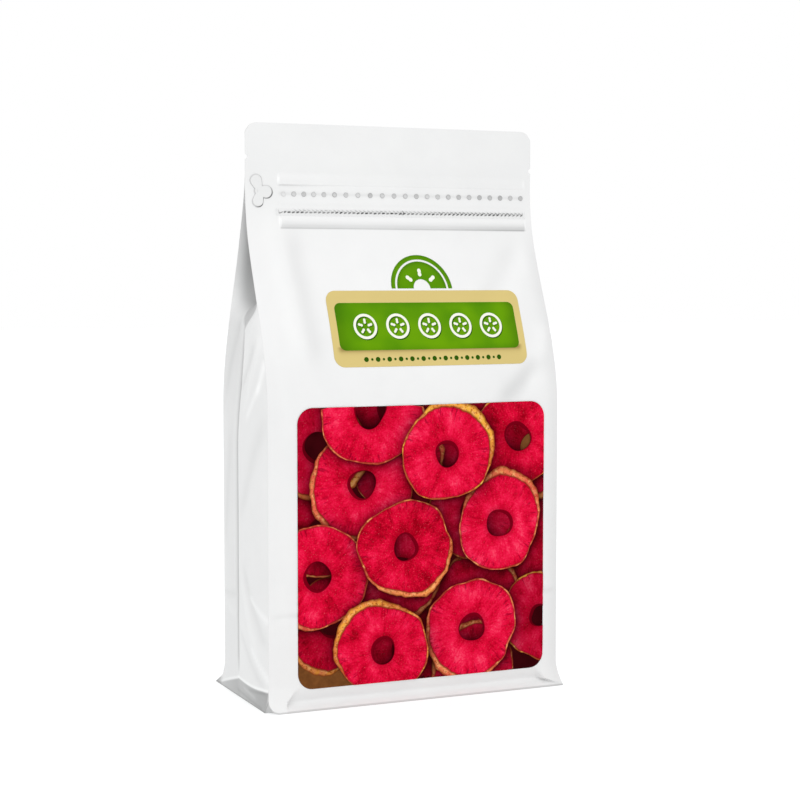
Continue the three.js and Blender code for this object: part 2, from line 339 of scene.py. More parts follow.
# %% Depth, bulge and flange
FRONT, BACK = -1, 1
pouch_low, pouch_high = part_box("pouch")
HEIGHT = pouch_high.z / MM
WIDTH = 150.0
SIDE = WIDTH / 2
HALF_DEPTH = 33.0
HALF_SEAL = 0.45
FULL_DEPTH_Z = 138.0
SHOULDER_Z = 250.0
LEAN = 2.5
BULGE = 2.5
FLANGE_OUT = -pouch_low.y / MM - HALF_DEPTH
FLANGE_SIDE = 2.0
FLARE_TOP_Z = 13.0
VALLEY_Z = 3.8
VALLEY_END = 66.5
FOOT_LEVELS = [0.0, 1.5, 3.1, VALLEY_Z, 4.6, 7.0, 9.6, 12.0]
FOOT_OUT = [FLANGE_OUT, 2.1, -0.9, -1.55, -1.5, -0.8, -0.15, 0.0]
SLANT_LEFT, SLANT_RIGHT = 0.75, 0.4
BLEND_LEFT, BLEND_RIGHT = 1.8, 3.0
MITRE_SLANT = 2.6


def half_depth(z):
    """Half the pouch's depth: full up to FULL_DEPTH_Z, closing smoothly to the seal."""
    return HALF_DEPTH + (HALF_SEAL - HALF_DEPTH) * smooth(z, FULL_DEPTH_Z, SHOULDER_Z)


def centre_y(z):
    """The header leans to the front by LEAN."""
    return -LEAN * smooth(z, 215, 255)


def bulge(x, z):
    """The contents push a wall out most at its middle: cos^2 across, fading up and down."""
    return BULGE * np.cos(np.pi * x / WIDTH) ** 2 * stretch(z, 14, 70, 150, 225)


def flare(z):
    """1 at the floor, falling as a parabola to 0 at FLARE_TOP_Z."""
    return np.clip(1 - z / FLARE_TOP_Z, 0, 1) ** 2


def foot(x, z):
    """Near the floor. At both ends the wall only flares out. Between them it has a straight
    flange with a valley above it, and a slanted face from the valley up to the wall. On the
    right a mitre runs on from the valley's end down to the corner."""
    right = np.asarray(x) > 0
    end = VALLEY_END - np.where(right, SLANT_RIGHT, SLANT_LEFT) * np.maximum(0, z - VALLEY_Z)
    end = end + np.where(right, MITRE_SLANT, 0) * np.maximum(0, VALLEY_Z - z)
    inside = smooth(end - np.abs(x), 0, np.where(right, BLEND_RIGHT, BLEND_LEFT))
    return FLANGE_OUT * flare(z) * (1 - inside) + np.interp(z, FOOT_LEVELS, FOOT_OUT) * inside


print("half depth at 10, 150 and 240 mm:", [round(float(half_depth(z)), 1) for z in (10, 150, 240)])

# %% [markdown]
# ## The pocket zip
#
# A pocket zip is a strip welded behind the front wall. It shows as a thin lip on top, a flat
# stretch with the row of spot seals, the knurled line that tears, and a rounded band whose lower
# edge throws a thin shadow. All four are one curve of the height, faded out at both ends.

# %% Zip relief
ZIP_LEFT, ZIP_RIGHT = -59.2, 71.3
LIP_LOW_Z, LIP_HIGH_Z = 243.6, 249.6
SEALS_Z = 239.4
TRACK_Z = 231.0
BAND_LOW_Z, BAND_HIGH_Z = 223.2, 229.8
LIP_RAISE = 0.6
BAND_RAISE = 0.95
TRACK_DEPTH = 0.35


def zip_ends(x):
    """1 along the zip, fading to 0 over a millimetre at its two ends."""
    return stretch(x, ZIP_LEFT, ZIP_LEFT + 1.0, ZIP_RIGHT - 1.0, ZIP_RIGHT)


def zip_relief(x, z):
    """How far the zip stands out of the front wall, without the groove of its knurled line."""
    lip = stretch(z, LIP_LOW_Z - 0.15, LIP_LOW_Z + 0.2, 245.5, LIP_HIGH_Z)
    lip = lip * (1 - 0.75 * smooth(x, -52, -22))
    step = stretch(z, BAND_LOW_Z - 0.1, BAND_LOW_Z + 0.25, 227, BAND_HIGH_Z)
    band = stretch(z, BAND_LOW_Z, BAND_LOW_Z + 2.2, 226.2, BAND_HIGH_Z)
    flat = stretch(z, BAND_HIGH_Z, 232.5, 243, LIP_LOW_Z)
    seals = 0.14 * flat - 0.12 * hump(z, SEALS_Z, 0.9) + 0.16 * hump(z, 235.3, 1.6)
    track = 0.3 * hump(z, TRACK_Z, 1.6)
    return (LIP_RAISE * lip + BAND_RAISE * (0.3 * step + 0.7 * band) + seals + track) * zip_ends(x)


def track_groove(x, z):
    """The groove under the knurled line, which a finer piece fills."""
    return TRACK_DEPTH * smooth(hump(z, TRACK_Z, 1.0), 0.2, 0.7) * zip_ends(x)


print("lip", LIP_HIGH_Z - LIP_LOW_Z, "mm, band", BAND_HIGH_Z - BAND_LOW_Z, "mm")

# %% [markdown]
# ## Soft folds
#
# Film that has been handled keeps soft folds. Each one is a bell curve of the distance to a short
# line, so it is given by its two ends, its width and its height. A height under 0 is a groove.
# They could be noise, but real folds have a place and a direction: from the zip's ends down over
# the shoulders, and across the foot where the pouch was folded flat in its carton.

# %% Folds as bell curves along lines


def fold(u, v, start, end, width, height):
    """A bell curve of the distance from (u, v) to the line from start to end, faded at its ends."""
    du, dv = end[0] - start[0], end[1] - start[1]
    length = math.hypot(du, dv)
    along = ((u - start[0]) * du + (v - start[1]) * dv) / length
    beyond = np.maximum(0, np.maximum(-along, along - length))
    across = ((u - start[0]) * dv - (v - start[1]) * du) / length
    return height * np.exp(-((across / width) ** 2) - (beyond / (2 * width)) ** 2)


def fold_sum(u, v, lines):
    """All folds of a list together."""
    return sum(fold(u, v, *line) for line in lines)


FRONT_FOLDS = [
    ((-63, 222), (-59, 172), 4.5, 0.45),
    ((-53, 212), (-50, 170), 5.0, -0.55),
    ((-69, 168), (-66, 128), 3.0, 0.2),
    ((62, 156), (49, 145), 4.5, -0.9),
    ((70, 172), (62, 150), 4.0, 0.5),
    ((56, 208), (40, 188), 5.0, -0.3),
    ((64, 205), (50, 180), 4.0, 0.3),
    ((-20, 222), (10, 214), 5.0, 0.2),
    ((-70, 60), (-66, 30), 2.5, 0.15),
]
BACK_FOLDS = [
    ((-60, 215), (-48, 165), 5.0, -0.7),
    ((58, 220), (50, 160), 5.0, -0.6),
    ((-20, 150), (25, 120), 7.0, 0.5),
    ((30, 90), (-25, 60), 8.0, -0.5),
    ((64, 120), (60, 70), 4.0, 0.35),
    ((-66, 110), (-60, 60), 4.0, 0.3),
]
CARTON_FOLD_Z = 44.0
CARTON_FOLD_RISE = 0.02


def folds(side, x, z):
    """The folds of one wall, and the crease across it where it was folded in its carton. They fade
    out at the side edges, which the gussets hold straight."""
    found = fold_sum(x, z, FRONT_FOLDS if side == FRONT else BACK_FOLDS)
    level = z - CARTON_FOLD_RISE * x
    crease = -0.3 * hump(level, CARTON_FOLD_Z + 1.3, 1.4) + 0.12 * hump(level, CARTON_FOLD_Z + 4.5, 2.0)
    if side == FRONT:
        crease = crease * smooth(np.abs(x - 3), 60, 65)
    return (found + crease) * smooth(SIDE - np.abs(x), 0, 4)


print(len(FRONT_FOLDS), "folds in front,", len(BACK_FOLDS), "behind")

# %% [markdown]
# ## A point of a wall
#
# The edges of the walls are folded film, so they turn over a half-millimetre radius. The flange's
# left front corner is rounded and lifts off the floor, and its right one runs out to a point. The
# header's corners are round too, and a tear notch is nipped into each side.

# %% Wall points
EDGE_ROUND = 0.5
EDGE_ROLL = 0.5
EDGE_ROLL_WIDTH = 9.0
FLANGE_CORNER = 5.5
HEADER_CORNER = 6.0
HEADER_Z = 259.0
NOTCH_LEFT_Z, NOTCH_RIGHT_Z = 256.5, 253.0
NOTCH_RADIUS = 1.1
BACK_CORNER_OUT = 4.5
BACK_CORNER_X = 62.0
BACK_CORNER_Z = 4.5


def arc_drop(past, radius):
    """How far a round corner has fallen, this far past its start."""
    past = np.clip(past, 0, radius)
    return radius - np.sqrt(radius**2 - past**2)


def header_share(z):
    """0 up to HEADER_Z, rising evenly to 1 at the top edge."""
    return np.clip((z - HEADER_Z) / (HEIGHT - HEADER_Z), 0, 1)


def levels_at(side, x, z):
    """The height of row z at x: lifted by the front flange's round left corner, lowered by the
    header's. The flange keeps its three other corners sharp and on the floor."""
    lift = arc_drop(-x - (SIDE - FLANGE_CORNER), FLANGE_CORNER) * (side == FRONT)
    drop = arc_drop(np.abs(x) - (SIDE - HEADER_CORNER), HEADER_CORNER)
    low = lift * np.clip(1 - z / FLARE_TOP_Z, 0, 1)
    return z + low - drop * header_share(z)


def notch(x, z):
    """How far the tear notches push the side edges in."""
    near = smooth(np.abs(x), SIDE - 4, SIDE)
    level = np.where(x < 0, NOTCH_LEFT_Z, NOTCH_RIGHT_Z)
    bite = np.sqrt(np.clip(NOTCH_RADIUS**2 - (z - level) ** 2, 0, None))
    return np.sign(x) * bite * near


def edge_radius(z):
    """EDGE_ROUND, or less where the pouch gets thinner than that towards its seal."""
    return np.minimum(EDGE_ROUND, 0.8 * half_depth(z))


def edge_roll(z):
    """How far the wall has rolled back at its side edges, over EDGE_ROLL_WIDTH."""
    return EDGE_ROLL * (1 - smooth(z, 205, 235))


def wall_out(side, x, z):
    """How far a wall stands out from the pouch's middle plane."""
    out = half_depth(z) + bulge(x, z) + foot(x, z)
    out = out + folds(side, x, z) * smooth(half_depth(z), 0.6, 4)
    past = (np.abs(x) - (SIDE - EDGE_ROLL_WIDTH)) / EDGE_ROLL_WIDTH
    out = out - edge_roll(z) * np.clip(past, 0, 1) ** 2
    out = out - arc_drop((np.abs(x) - SIDE) / EDGE_ROUND + 1, 1.0) * edge_radius(z)
    corner = smooth(np.abs(x), BACK_CORNER_X, SIDE) ** 2 * np.clip(1 - z / BACK_CORNER_Z, 0, 1)
    return out + (zip_relief(x, z) if side == FRONT else BACK_CORNER_OUT * corner)


def wall_points(side, x, z, lift=0.0):
    """Points (..., 3) of the wall on one side, FRONT or BACK, lifted off it."""
    x, z = np.broadcast_arrays(x, z)
    level = levels_at(side, x, z)
    out = wall_out(side, x, level) + lift
    wide = x * (1 + FLANGE_SIDE * flare(level) / SIDE) - notch(x, level)
    return np.stack([wide, centre_y(level) + side * out, level], -1)


print("front middle:", wall_points(FRONT, 0.0, 100.0).round(2))

# %% [markdown]
# ## The gussets
#
# Low down, the contents push a gusset out. Towards the seal it is empty, and its centre crease
# folds in between the walls. The half next to the front is fuller and ends in a small arch, which
# overhangs the crease. Below the lowest crease the film runs straight down to the floor.

# %% Gusset points
LEFT, RIGHT = -1, 1
GUSSET_OUT = 3.7
GUSSET_FOLD = 31.0
ARCH_Z, ARCH_RISE = 174, 13
GUSSET_FOLDS = [
    ((-31, 170), (-13, 143), 2.2, 0.45),
    ((-22, 166), (-6, 152), 2.5, -0.5),
    ((-10, 172), (-5, 158), 1.8, 0.35),
    ((-28, 128), (-10, 96), 4.0, -0.35),
    ((-12, 60), (-29, 34), 2.6, -0.45),
    ((-9, 54), (-24, 26), 2.2, 0.4),
    ((-8, 30), (-28, 12), 2.0, -0.4),
    ((12, 120), (22, 80), 5.0, -0.3),
    ((3, 50), (30, 47), 1.6, -0.3),
    ((4, 40), (28, 44), 2.4, 0.25),
    ((20, 150), (10, 178), 4.0, -0.4),
]


def crease_in(z):
    """How far the centre crease stands inside the side edges; under 0 it stands out."""
    out = GUSSET_OUT * (1 - smooth(z, 120, 176))
    fold_in = GUSSET_FOLD * smooth(z, 178, 212)
    return (fold_in - out) * (1 - smooth(z, 242, 247))


def gusset_half(z):
    """Half the width of a gusset, which ends just inside the edges of the two walls."""
    edge = half_depth(z) - edge_roll(z) - edge_radius(z)
    return edge - np.minimum(0.1, 0.4 * edge)


def gusset_pillow(t, z):
    """The front half is a full lobe up to an arch, the back half a flatter one."""
    to_crease = 1 - np.abs(t)
    front = np.broadcast_to(t < 0, to_crease.shape)
    arch = np.where(front, ARCH_Z + ARCH_RISE * np.abs(t), 168 + 8 * np.abs(t))
    full = 1 - smooth(z, arch - np.where(front, 7, 14), arch + np.where(front, 3, 12))
    return np.where(front, 2.3, 1.4) * np.sin(np.pi * to_crease ** np.where(front, 0.72, 1.0)) * full


def gusset_out(hand, t, z):
    """How far a gusset stands outside the side edges. t is -1 at the front edge, 0 at the centre
    crease and 1 at the back edge."""
    to_crease = 1 - np.abs(t)
    lines = fold_sum(t * HALF_DEPTH, z, GUSSET_FOLDS)
    creases = lines * smooth(half_depth(z), 12, 22) * (1 if hand == LEFT else 0.8)
    groove = -1.1 * hump(t, 0.02, 0.035) * stretch(z, 8, 20, 172, 186)
    rim = 0.35 * hump(t, 0.11, 0.04) * stretch(z, 40, 60, 165, 180)
    fine = (creases + groove + rim) * smooth(to_crease, 0, 0.12)
    return gusset_pillow(t, z) - crease_in(z) * to_crease + fine + FLANGE_SIDE * flare(z) * np.abs(t)


def skirt_top(t):
    """The height of the lowest crease: nearly level in front, falling towards the back."""
    return np.minimum(10.3 + 0.7 * t, 10.3 - 8.5 * t)


def gusset_points(hand, t, z):
    """Points (..., 3) of the LEFT or RIGHT gusset, with its straight skirt below its lowest crease."""
    t, z = np.broadcast_arrays(t, z)
    top = skirt_top(t)
    above = gusset_out(hand, t, np.maximum(z, top))
    out = np.where(z < top, FLANGE_SIDE + (above - FLANGE_SIDE) * z / top, above)
    level = z - HEADER_CORNER * header_share(z)
    side = hand * (SIDE + out) - notch(np.full(level.shape, hand * SIDE), level)
    return np.stack([side, centre_y(level) + gusset_half(level) * t, level], -1)


print("left crease at 100 mm:", gusset_points(LEFT, 0.0, 100.0).round(2))

# %% [markdown]
# ## The film as one closed skin
#
# Front, right gusset, back and left gusset make one ring of points. Rings are stacked where the
# shape needs them: closely over the zip and the foot, loosely over the plain body. Two caps of
# strips close the floor and the top edge.

# %% Rings and columns


def steps(*stretches):
    """Numbers from stretches of (start, end, step), each up to but without its end."""
    parts = [np.arange(round((end - start) / step)) * step + start for start, end, step in stretches]
    return np.concatenate(parts)


def mirrored(half):
    """The numbers of half with their negatives before them."""
    return np.concatenate([-half[::-1], half])


ring_z = np.append(
    steps(
        (0, 13.2, 0.44),
        (13.2, 42, 1.6),
        (42, 51, 0.6),
        (51, 150, 2.2),
        (150, 166, 1.6),
        (166, 190, 0.8),
        (190, 222, 1.6),
        (222, 250.8, 0.3),
        (250.8, 258.4, 0.4),
        (258.4, HEIGHT - 0.1, 0.7),
    ),
    HEIGHT,
)
column_half = np.append(
    steps((1.15, 56.35, 2.3), (56.35, 60.35, 0.5), (60.35, 74, 0.97)),
    [74.5, 74.7, 74.85, 74.95, SIDE],
)
column_x = mirrored(column_half)
gusset_t = mirrored(np.append(steps((0.02, 0.14, 0.02), (0.14, 0.98, 0.042)), [0.98, 1.0]))
gusset_t = np.insert(gusset_t, len(gusset_t) // 2, 0.0)
print(len(ring_z), "rings of", 2 * (len(column_x) + len(gusset_t)), "points")

# %% Caps


def end_fan(start, gusset, end):
    """Triangles from the two inner corners at one end of a cap to the points of its gusset."""
    half = len(gusset) // 2
    first = np.stack([np.full(half, start), gusset[:half], gusset[1 : half + 1]], -1)
    second = np.stack([np.full(half, end), gusset[half:-1], gusset[half + 1 :]], -1)
    return np.concatenate([first, second, [[start, gusset[half], end]]])


def film_cap(ring, first, spare):
    """Closes a ring. Two lines join the gussets' front edges and their back edges. Strips fill the
    space between the walls and those lines, and fans fill the gussets. first is the number of the
    ring's first point, and spare that of the next new one. Gives points, quads and triangles."""
    n, g = len(column_x), len(gusset_t)
    front = first + np.arange(n)
    right = first + n + np.arange(g)
    back = first + n + g + np.arange(n)[::-1]
    left = first + 2 * n + g + np.arange(g)[::-1]
    share = ((column_x[1:-1] + SIDE) / WIDTH)[:, None]
    lines = []
    for hand_left, hand_right, wall in ((left[0], right[0], front), (left[-1], right[-1], back)):
        low, high = ring[hand_left - first], ring[hand_right - first]
        line = low + (high - low) * share
        wall_z = ring[wall - first][1:-1, 2]
        line[:, 2] = np.where(wall_z > HEADER_Z, wall_z, 0)
        lines.append(line)
    inner_front = np.concatenate([left[:1], spare + np.arange(n - 2), right[:1]])
    inner_back = np.concatenate([left[-1:], spare + n - 2 + np.arange(n - 2), right[-1:]])
    strips = [
        np.stack([low[:-1], low[1:], high[1:], high[:-1]], -1)
        for low, high in (
            (front, inner_front),
            (inner_front[1:-1], inner_back[1:-1]),
            (inner_back, back),
        )
    ]
    fans = [
        end_fan(inner_front[-2], right, inner_back[-2]),
        end_fan(inner_back[1], left[::-1], inner_front[1]),
    ]
    return np.concatenate(lines), np.concatenate(strips), np.concatenate(fans)


print("a cap closes a ring with strips between", len(column_x), "points of each wall")

# %% The film
# Painted shade and painted highlights on the film: in grooves, on ridges and along crease lines.
GROOVE_PAINTED_SHADE = 0.28
RIDGE_PAINTED_HIGHLIGHT = 0.18
CAP_GREY = 0.6
# Lines of painted crease light on the gussets: a height over 0 is a painted highlight, under 0 painted
# shade.
PAINTED_CREASE_LINES = [
    ((-33, 160), (-27, 149), 1.3, 0.4),
    ((-27, 149), (-16, 137), 1.4, 0.3),
    ((-19, 51), (-32, 43), 1.2, 0.26),
    ((-21, 27), (-33, 15), 1.2, 0.28),
    ((0, 10.7), (-33, 10.0), 0.5, 0.45),
    ((0, 10.7), (32, 2.5), 0.5, 0.3),
    ((-1.5, 18), (-2.0, 160), 0.8, 0.12),
    ((-30, 187), (-4, 176), 0.9, 0.3),
    ((-8, 6.5), (-20, 5.0), 1.1, 0.14),
    ((-16, 7.5), (-31, 8.6), 0.8, -0.12),
    ((3, 3.4), (-28, 1.2), 0.8, -0.14),
]


def fold_painted_light(found):
    """Painted shade in the grooves of folds, and painted highlights on their ridges."""
    return GROOVE_PAINTED_SHADE * np.clip(-found, 0, 1) - RIDGE_PAINTED_HIGHLIGHT * np.clip(found, 0, 1)


def floor_contact_shadow(z):
    """A painted contact shadow where the film meets the floor."""
    return 0.6 * smooth(-z, -0.9, -0.2)


def front_grey_and_painted_light(x, z):
    """How grey the front is: grey along the row of spot seals; painted shade under the lip, down the
    zip's band to its crisp lower edge, in the folds' grooves, towards the right edge, which turns away
    from the light, at the foot's side corners and along the floor. Painted highlights lie on the zip's
    ends and on the folds' ridges."""
    seals = 0.14 * hump(z, SEALS_Z, 0.8)
    right = smooth(x, 20, ZIP_RIGHT)
    # Painted shade down the zip's band, and painted shadow lines at its lower edge and under the lip.
    band = (0.26 + 0.16 * right) * smooth(-z, -227.8, -BAND_LOW_Z)
    band = band * smooth(z, BAND_LOW_Z - 0.2, BAND_LOW_Z + 0.1)
    edge = (0.22 + 0.2 * right) * hump(z, BAND_LOW_Z + 0.05, 0.3)
    lip = 0.2 * hump(z, LIP_LOW_Z - 0.2, 0.3) * (1 - smooth(x, -56, -42))
    # Painted highlights on the zip's ends.
    tall = hump(z, 246.0, 1.9) + hump(z, 226.2, 2.2)
    ends = 0.7 * tall * (hump(x, ZIP_LEFT + 0.5, 0.45) + 0.4 * hump(x, ZIP_RIGHT - 0.5, 0.45))
    fold_shade_and_highlight = fold_painted_light(folds(FRONT, x, z))
    # Painted shade towards the right edge and at the foot's side corners.
    away = 0.035 * smooth(x, 0, 70) + 0.14 * smooth(x, 66, SIDE) * (1 - smooth(z, 205, 235))
    corner = 0.5 * smooth(np.abs(x), SIDE - 0.04, SIDE) * (1 - smooth(z, 5, 8))
    return (seals + band + edge + lip) * zip_ends(x) - ends + fold_shade_and_highlight + away + corner + floor_contact_shadow(z)


def back_painted_shade(x, z):
    """Painted shade on the back: on its two turned-out corners and along the floor."""
    return 0.9 * smooth(np.abs(x), 71, 74) * (1 - smooth(z, 2, 4.5)) + floor_contact_shadow(z)


def gusset_painted_light(t, z):
    """Painted shade on a gusset: deep in its fold and over the arch, along its centre crease, behind
    that crease, in its grooves, on the skirt at its foot, along the floor and a little all over.
    Painted highlights lie on its sharp creases and on the ridges of its folds."""
    out = gusset_out(LEFT, t, np.maximum(z, skirt_top(t)))
    deep = 0.73 * smooth(-out, 0, 6)
    arch = ARCH_Z + np.where(t < 0, ARCH_RISE * np.abs(t), 55 * t)
    over = 0.62 * stretch(z, arch - 1.5, arch + np.where(t < 0, 3, 7), 196, 210)
    crease = 0.7 * hump(t, 0.02, 0.034) * stretch(z, 10, 22, 168, 182)
    behind = (0.08 + 0.09 * smooth(z, 125, 165)) * smooth(t, 0.04, 0.12) * (1 - smooth(z, 176, 190))
    y = t * HALF_DEPTH
    fold_shade_and_highlight = fold_painted_light(fold_sum(y, z, GUSSET_FOLDS) * (1 - smooth(z, 178, 188)))
    sharp = fold_sum(y, z, PAINTED_CREASE_LINES)
    skirt = (0.66 - 0.16 * t) * (1 - smooth(z, skirt_top(t) - 0.9, skirt_top(t)))
    # Painted shade, 0.05 of it all over, less the painted highlights of the sharp creases.
    folded = np.maximum(np.maximum(deep, over), crease) + behind + 0.05
    return folded + fold_shade_and_highlight + skirt - sharp + 0.5 * floor_contact_shadow(z)


def add_film():
    """All points of the film ring by ring, its faces and its two caps."""
    x, t, z = column_x[None, :], gusset_t[None, :], ring_z[:, None]
    front = wall_points(FRONT, x, z)
    front[..., 1] += track_groove(x, z)
    right = gusset_points(RIGHT, t, z)
    back = wall_points(BACK, x[:, ::-1], z)
    left = gusset_points(LEFT, t[:, ::-1], z)
    skin = np.concatenate([front, right, back, left], axis=1)
    gusset_light = gusset_painted_light(t, z)
    pressed = [front_grey_and_painted_light(x, z), gusset_light, back_painted_shade(x[:, ::-1], z), gusset_light[:, ::-1]]
    pressed = np.concatenate(pressed, axis=1)
    size = skin.shape[1]
    points = skin.reshape(-1, 3)
    quads = [grid_faces(len(ring_z), size, closed=True)]
    triangles = []
    for row, turn in ((0, -1), (len(ring_z) - 1, 1)):
        extra, strips, fans = film_cap(skin[row], row * size, len(points))
        points = np.concatenate([points, extra])
        quads.append(strips[:, ::turn])
        triangles.append(fans[:, ::turn])
    values = {"pressed": np.append(pressed, np.full(len(points) - pressed.size, CAP_GREY))}
    return add_piece("pouch_film", points, quads + triangles, film, "pouch", values)


pouch_film = add_film()

# %% [markdown]
# ## Patches on the front
#
# The other pieces all lie on the front wall. Two helpers give their places: one fills a rounded
# rectangle with rows, and one makes rings of points about many centres at once, which serves
# seals, apple rings, pips and dots alike. A patch gets its height off the film last.

# %% Rounded rectangles


def rounded_patch(box_x, box_z, width, height, corner, step):
    """A grid (rows, columns) of x and z over a rounded rectangle. The rows are as wide as the
    outline at their height: straight between the corners, a quarter circle at them."""
    turn = np.linspace(-np.pi / 2, 0, 9)
    low_z = -height / 2 + corner + corner * np.sin(turn)
    low_half = width / 2 - corner + corner * np.cos(turn)
    count = int((height - 2 * corner) / step) + 1
    middle_z = np.linspace(-height / 2 + corner, height / 2 - corner, count + 1)[1:-1]
    row_z = np.concatenate([low_z, middle_z, -low_z[::-1]])
    row_half = np.concatenate([low_half, np.full(len(middle_z), width / 2), low_half[::-1]])
    across = np.linspace(-1, 1, int(width / step) + 1)
    x = box_x + row_half[:, None] * across[None, :]
    return x, np.broadcast_to((box_z + row_z)[:, None], x.shape)


def node_patch(node):
    """The middle, width and height of a CAD node on the front."""
    low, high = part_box(node)
    width, height = (high.x - low.x) / MM, (high.z - low.z) / MM
    return (low.x + high.x) / 2 / MM, (low.z + high.z) / 2 / MM, width, height


# %% Rings of points about many centres


def ring_points(x, z, radii, lift):
    """Points and quads of closed rings about centres x, z. radii is (centres, rows, angles), with
    the rows going outwards. x, z and lift are numbers, or arrays with one for each centre."""
    count, rows, angles = radii.shape
    px = np.reshape(x, (-1, 1, 1)) + radii * np.cos(round_angles(angles))
    pz = np.reshape(z, (-1, 1, 1)) + radii * np.sin(round_angles(angles))
    points = wall_points(FRONT, px, pz, np.reshape(lift, (-1, 1, 1)))
    starts = rows * angles * np.arange(count)
    quads = np.concatenate([grid_faces(rows, angles, True, start)[:, ::-1] for start in starts])
    return points.reshape(-1, 3), quads


def disc_points(x, z, radii, lift):
    """As ring_points, with a fan of triangles from each centre to its innermost ring."""
    count, rows, angles = radii.shape
    points, quads = ring_points(x, z, radii, lift)
    middle = wall_points(FRONT, np.ravel(x), np.ravel(z), np.ravel(lift))
    centre = len(points) + np.arange(count)[:, None]
    first = np.arange(count)[:, None] * rows * angles
    column = np.arange(angles)[None, :]
    corners = [centre + 0 * column, first + column, first + (column + 1) % angles]
    triangles = np.stack(corners, -1).reshape(-1, 3)
    return np.concatenate([points, middle]), quads, triangles


print("patch tools ready")

# %% [markdown]
# ## Spot seals
#
# A row of round welds holds the zip's strip to the film. Each is a shallow dish with a fine rim.
# The weld presses the white film thin, so it looks grey, and no two welds took the same heat.

# %% Spot seals
SEAL_COUNT = 23
SEAL_LEFT, SEAL_RIGHT = -55.6, 69.4
SEAL_RADIUS = 1.25
SEAL_SHIFT = 3.1
SEAL_LIFT = 0.05
SEAL_FLOOR = 0.03
SEAL_ANGLES = 20
seal_rng = np.random.default_rng(11)


def add_spot_seals():
    """Dishes of a ring profile: up to the rim at 0.8 of the radius, and down to the film. The
    pitch is a little uneven: the dishes left of the middle sit up to 3 mm farther left. The first
    dish got far less heat than the others."""
    x = np.linspace(SEAL_LEFT, SEAL_RIGHT, SEAL_COUNT)
    x = x - SEAL_SHIFT * hump(x, -27, 22)
    share = np.array([0.3, 0.55, 0.72, 0.82, 0.92, 1.0])
    height = np.array([0.02, 0.04, 0.12, 0.16, 0.1, 0.0]) + SEAL_FLOOR
    radii = np.broadcast_to(SEAL_RADIUS * share[:, None], (SEAL_COUNT, share.size, SEAL_ANGLES))
    points, quads, triangles = disc_points(x, SEALS_Z, radii, SEAL_LIFT)
    rise = np.broadcast_to(height[:, None], radii.shape)
    points[:, 1] -= np.append(rise, np.full(SEAL_COUNT, SEAL_FLOOR))
    right = smooth(x, 5, 60)
    heat = (0.68 + 0.1 * right) * seal_rng.uniform(0.7, 1.0, SEAL_COUNT)
    heat[0] = 0.2
    inside = np.where(np.arange(SEAL_COUNT) % 2 == 0, 1.0, 0.7 + 0.25 * right)
    rim = stretch(share, 0.55, 0.85, 0.93, 1.05)
    pressed = heat[:, None] * (inside[:, None] * (1 - rim) + 1.1 * rim)
    pressed = np.broadcast_to(pressed[:, :, None], radii.shape)
    values = {"pressed": np.append(pressed, heat * inside)}
    return add_piece("spot_seals", points, [quads, triangles], film, None, values)


spot_seals = add_spot_seals()

# %% [markdown]
# ## The knurled tear line
#
# Under the seals runs the line where the film tears open. It is knurled: a row of short slanted
# pits with a fainter twist above it, which grows into a braid towards the right. It is far finer
# than the film's mesh, so it is a ribbon with a fine mesh of its own that fills a groove in the
# film.

# %% Knurled line
PIT_PITCH = 2.2
TRACK_LEFT, TRACK_RIGHT = -60.2, 71.2
TRACK_LOW_Z, TRACK_HIGH_Z = 229.1, 232.6
KNOT_X = 4.5
KNURL_WHITE, PIT_PAINTED_SHADE = (0.72, 0.72, 0.72), (0.04, 0.04, 0.04)
TRACK_HOOK = [
    ((-59.3, 232.1), (-58.8, 230.5), 0.2, 0.8),
    ((-58.7, 230.2), (-57.2, 230.8), 0.2, 0.8),
]
knurl_rng = np.random.default_rng(5)


def pits(x, z, level, slant, half_length, half_height, start):
    """A row of slanted pits along a level. Each is exp(-u^4 - w^4) in its own turned axes."""
    cell = np.round((x - start) / PIT_PITCH)
    index = (cell - cell.min()).astype(int)
    wobble = knurl_rng.uniform(-1, 1, (3, index.max() + 1))
    u0, w0 = x - start - cell * PIT_PITCH, z - level - 0.08 * wobble[0][index]
    angle = np.radians(slant) + 0.2 * wobble[1][index]
    u = (u0 * np.cos(angle) + w0 * np.sin(angle)) / half_length
    w = (w0 * np.cos(angle) - u0 * np.sin(angle)) / half_height
    return np.exp(-(u**4) - w**4) * (0.8 + 0.2 * wobble[2][index])


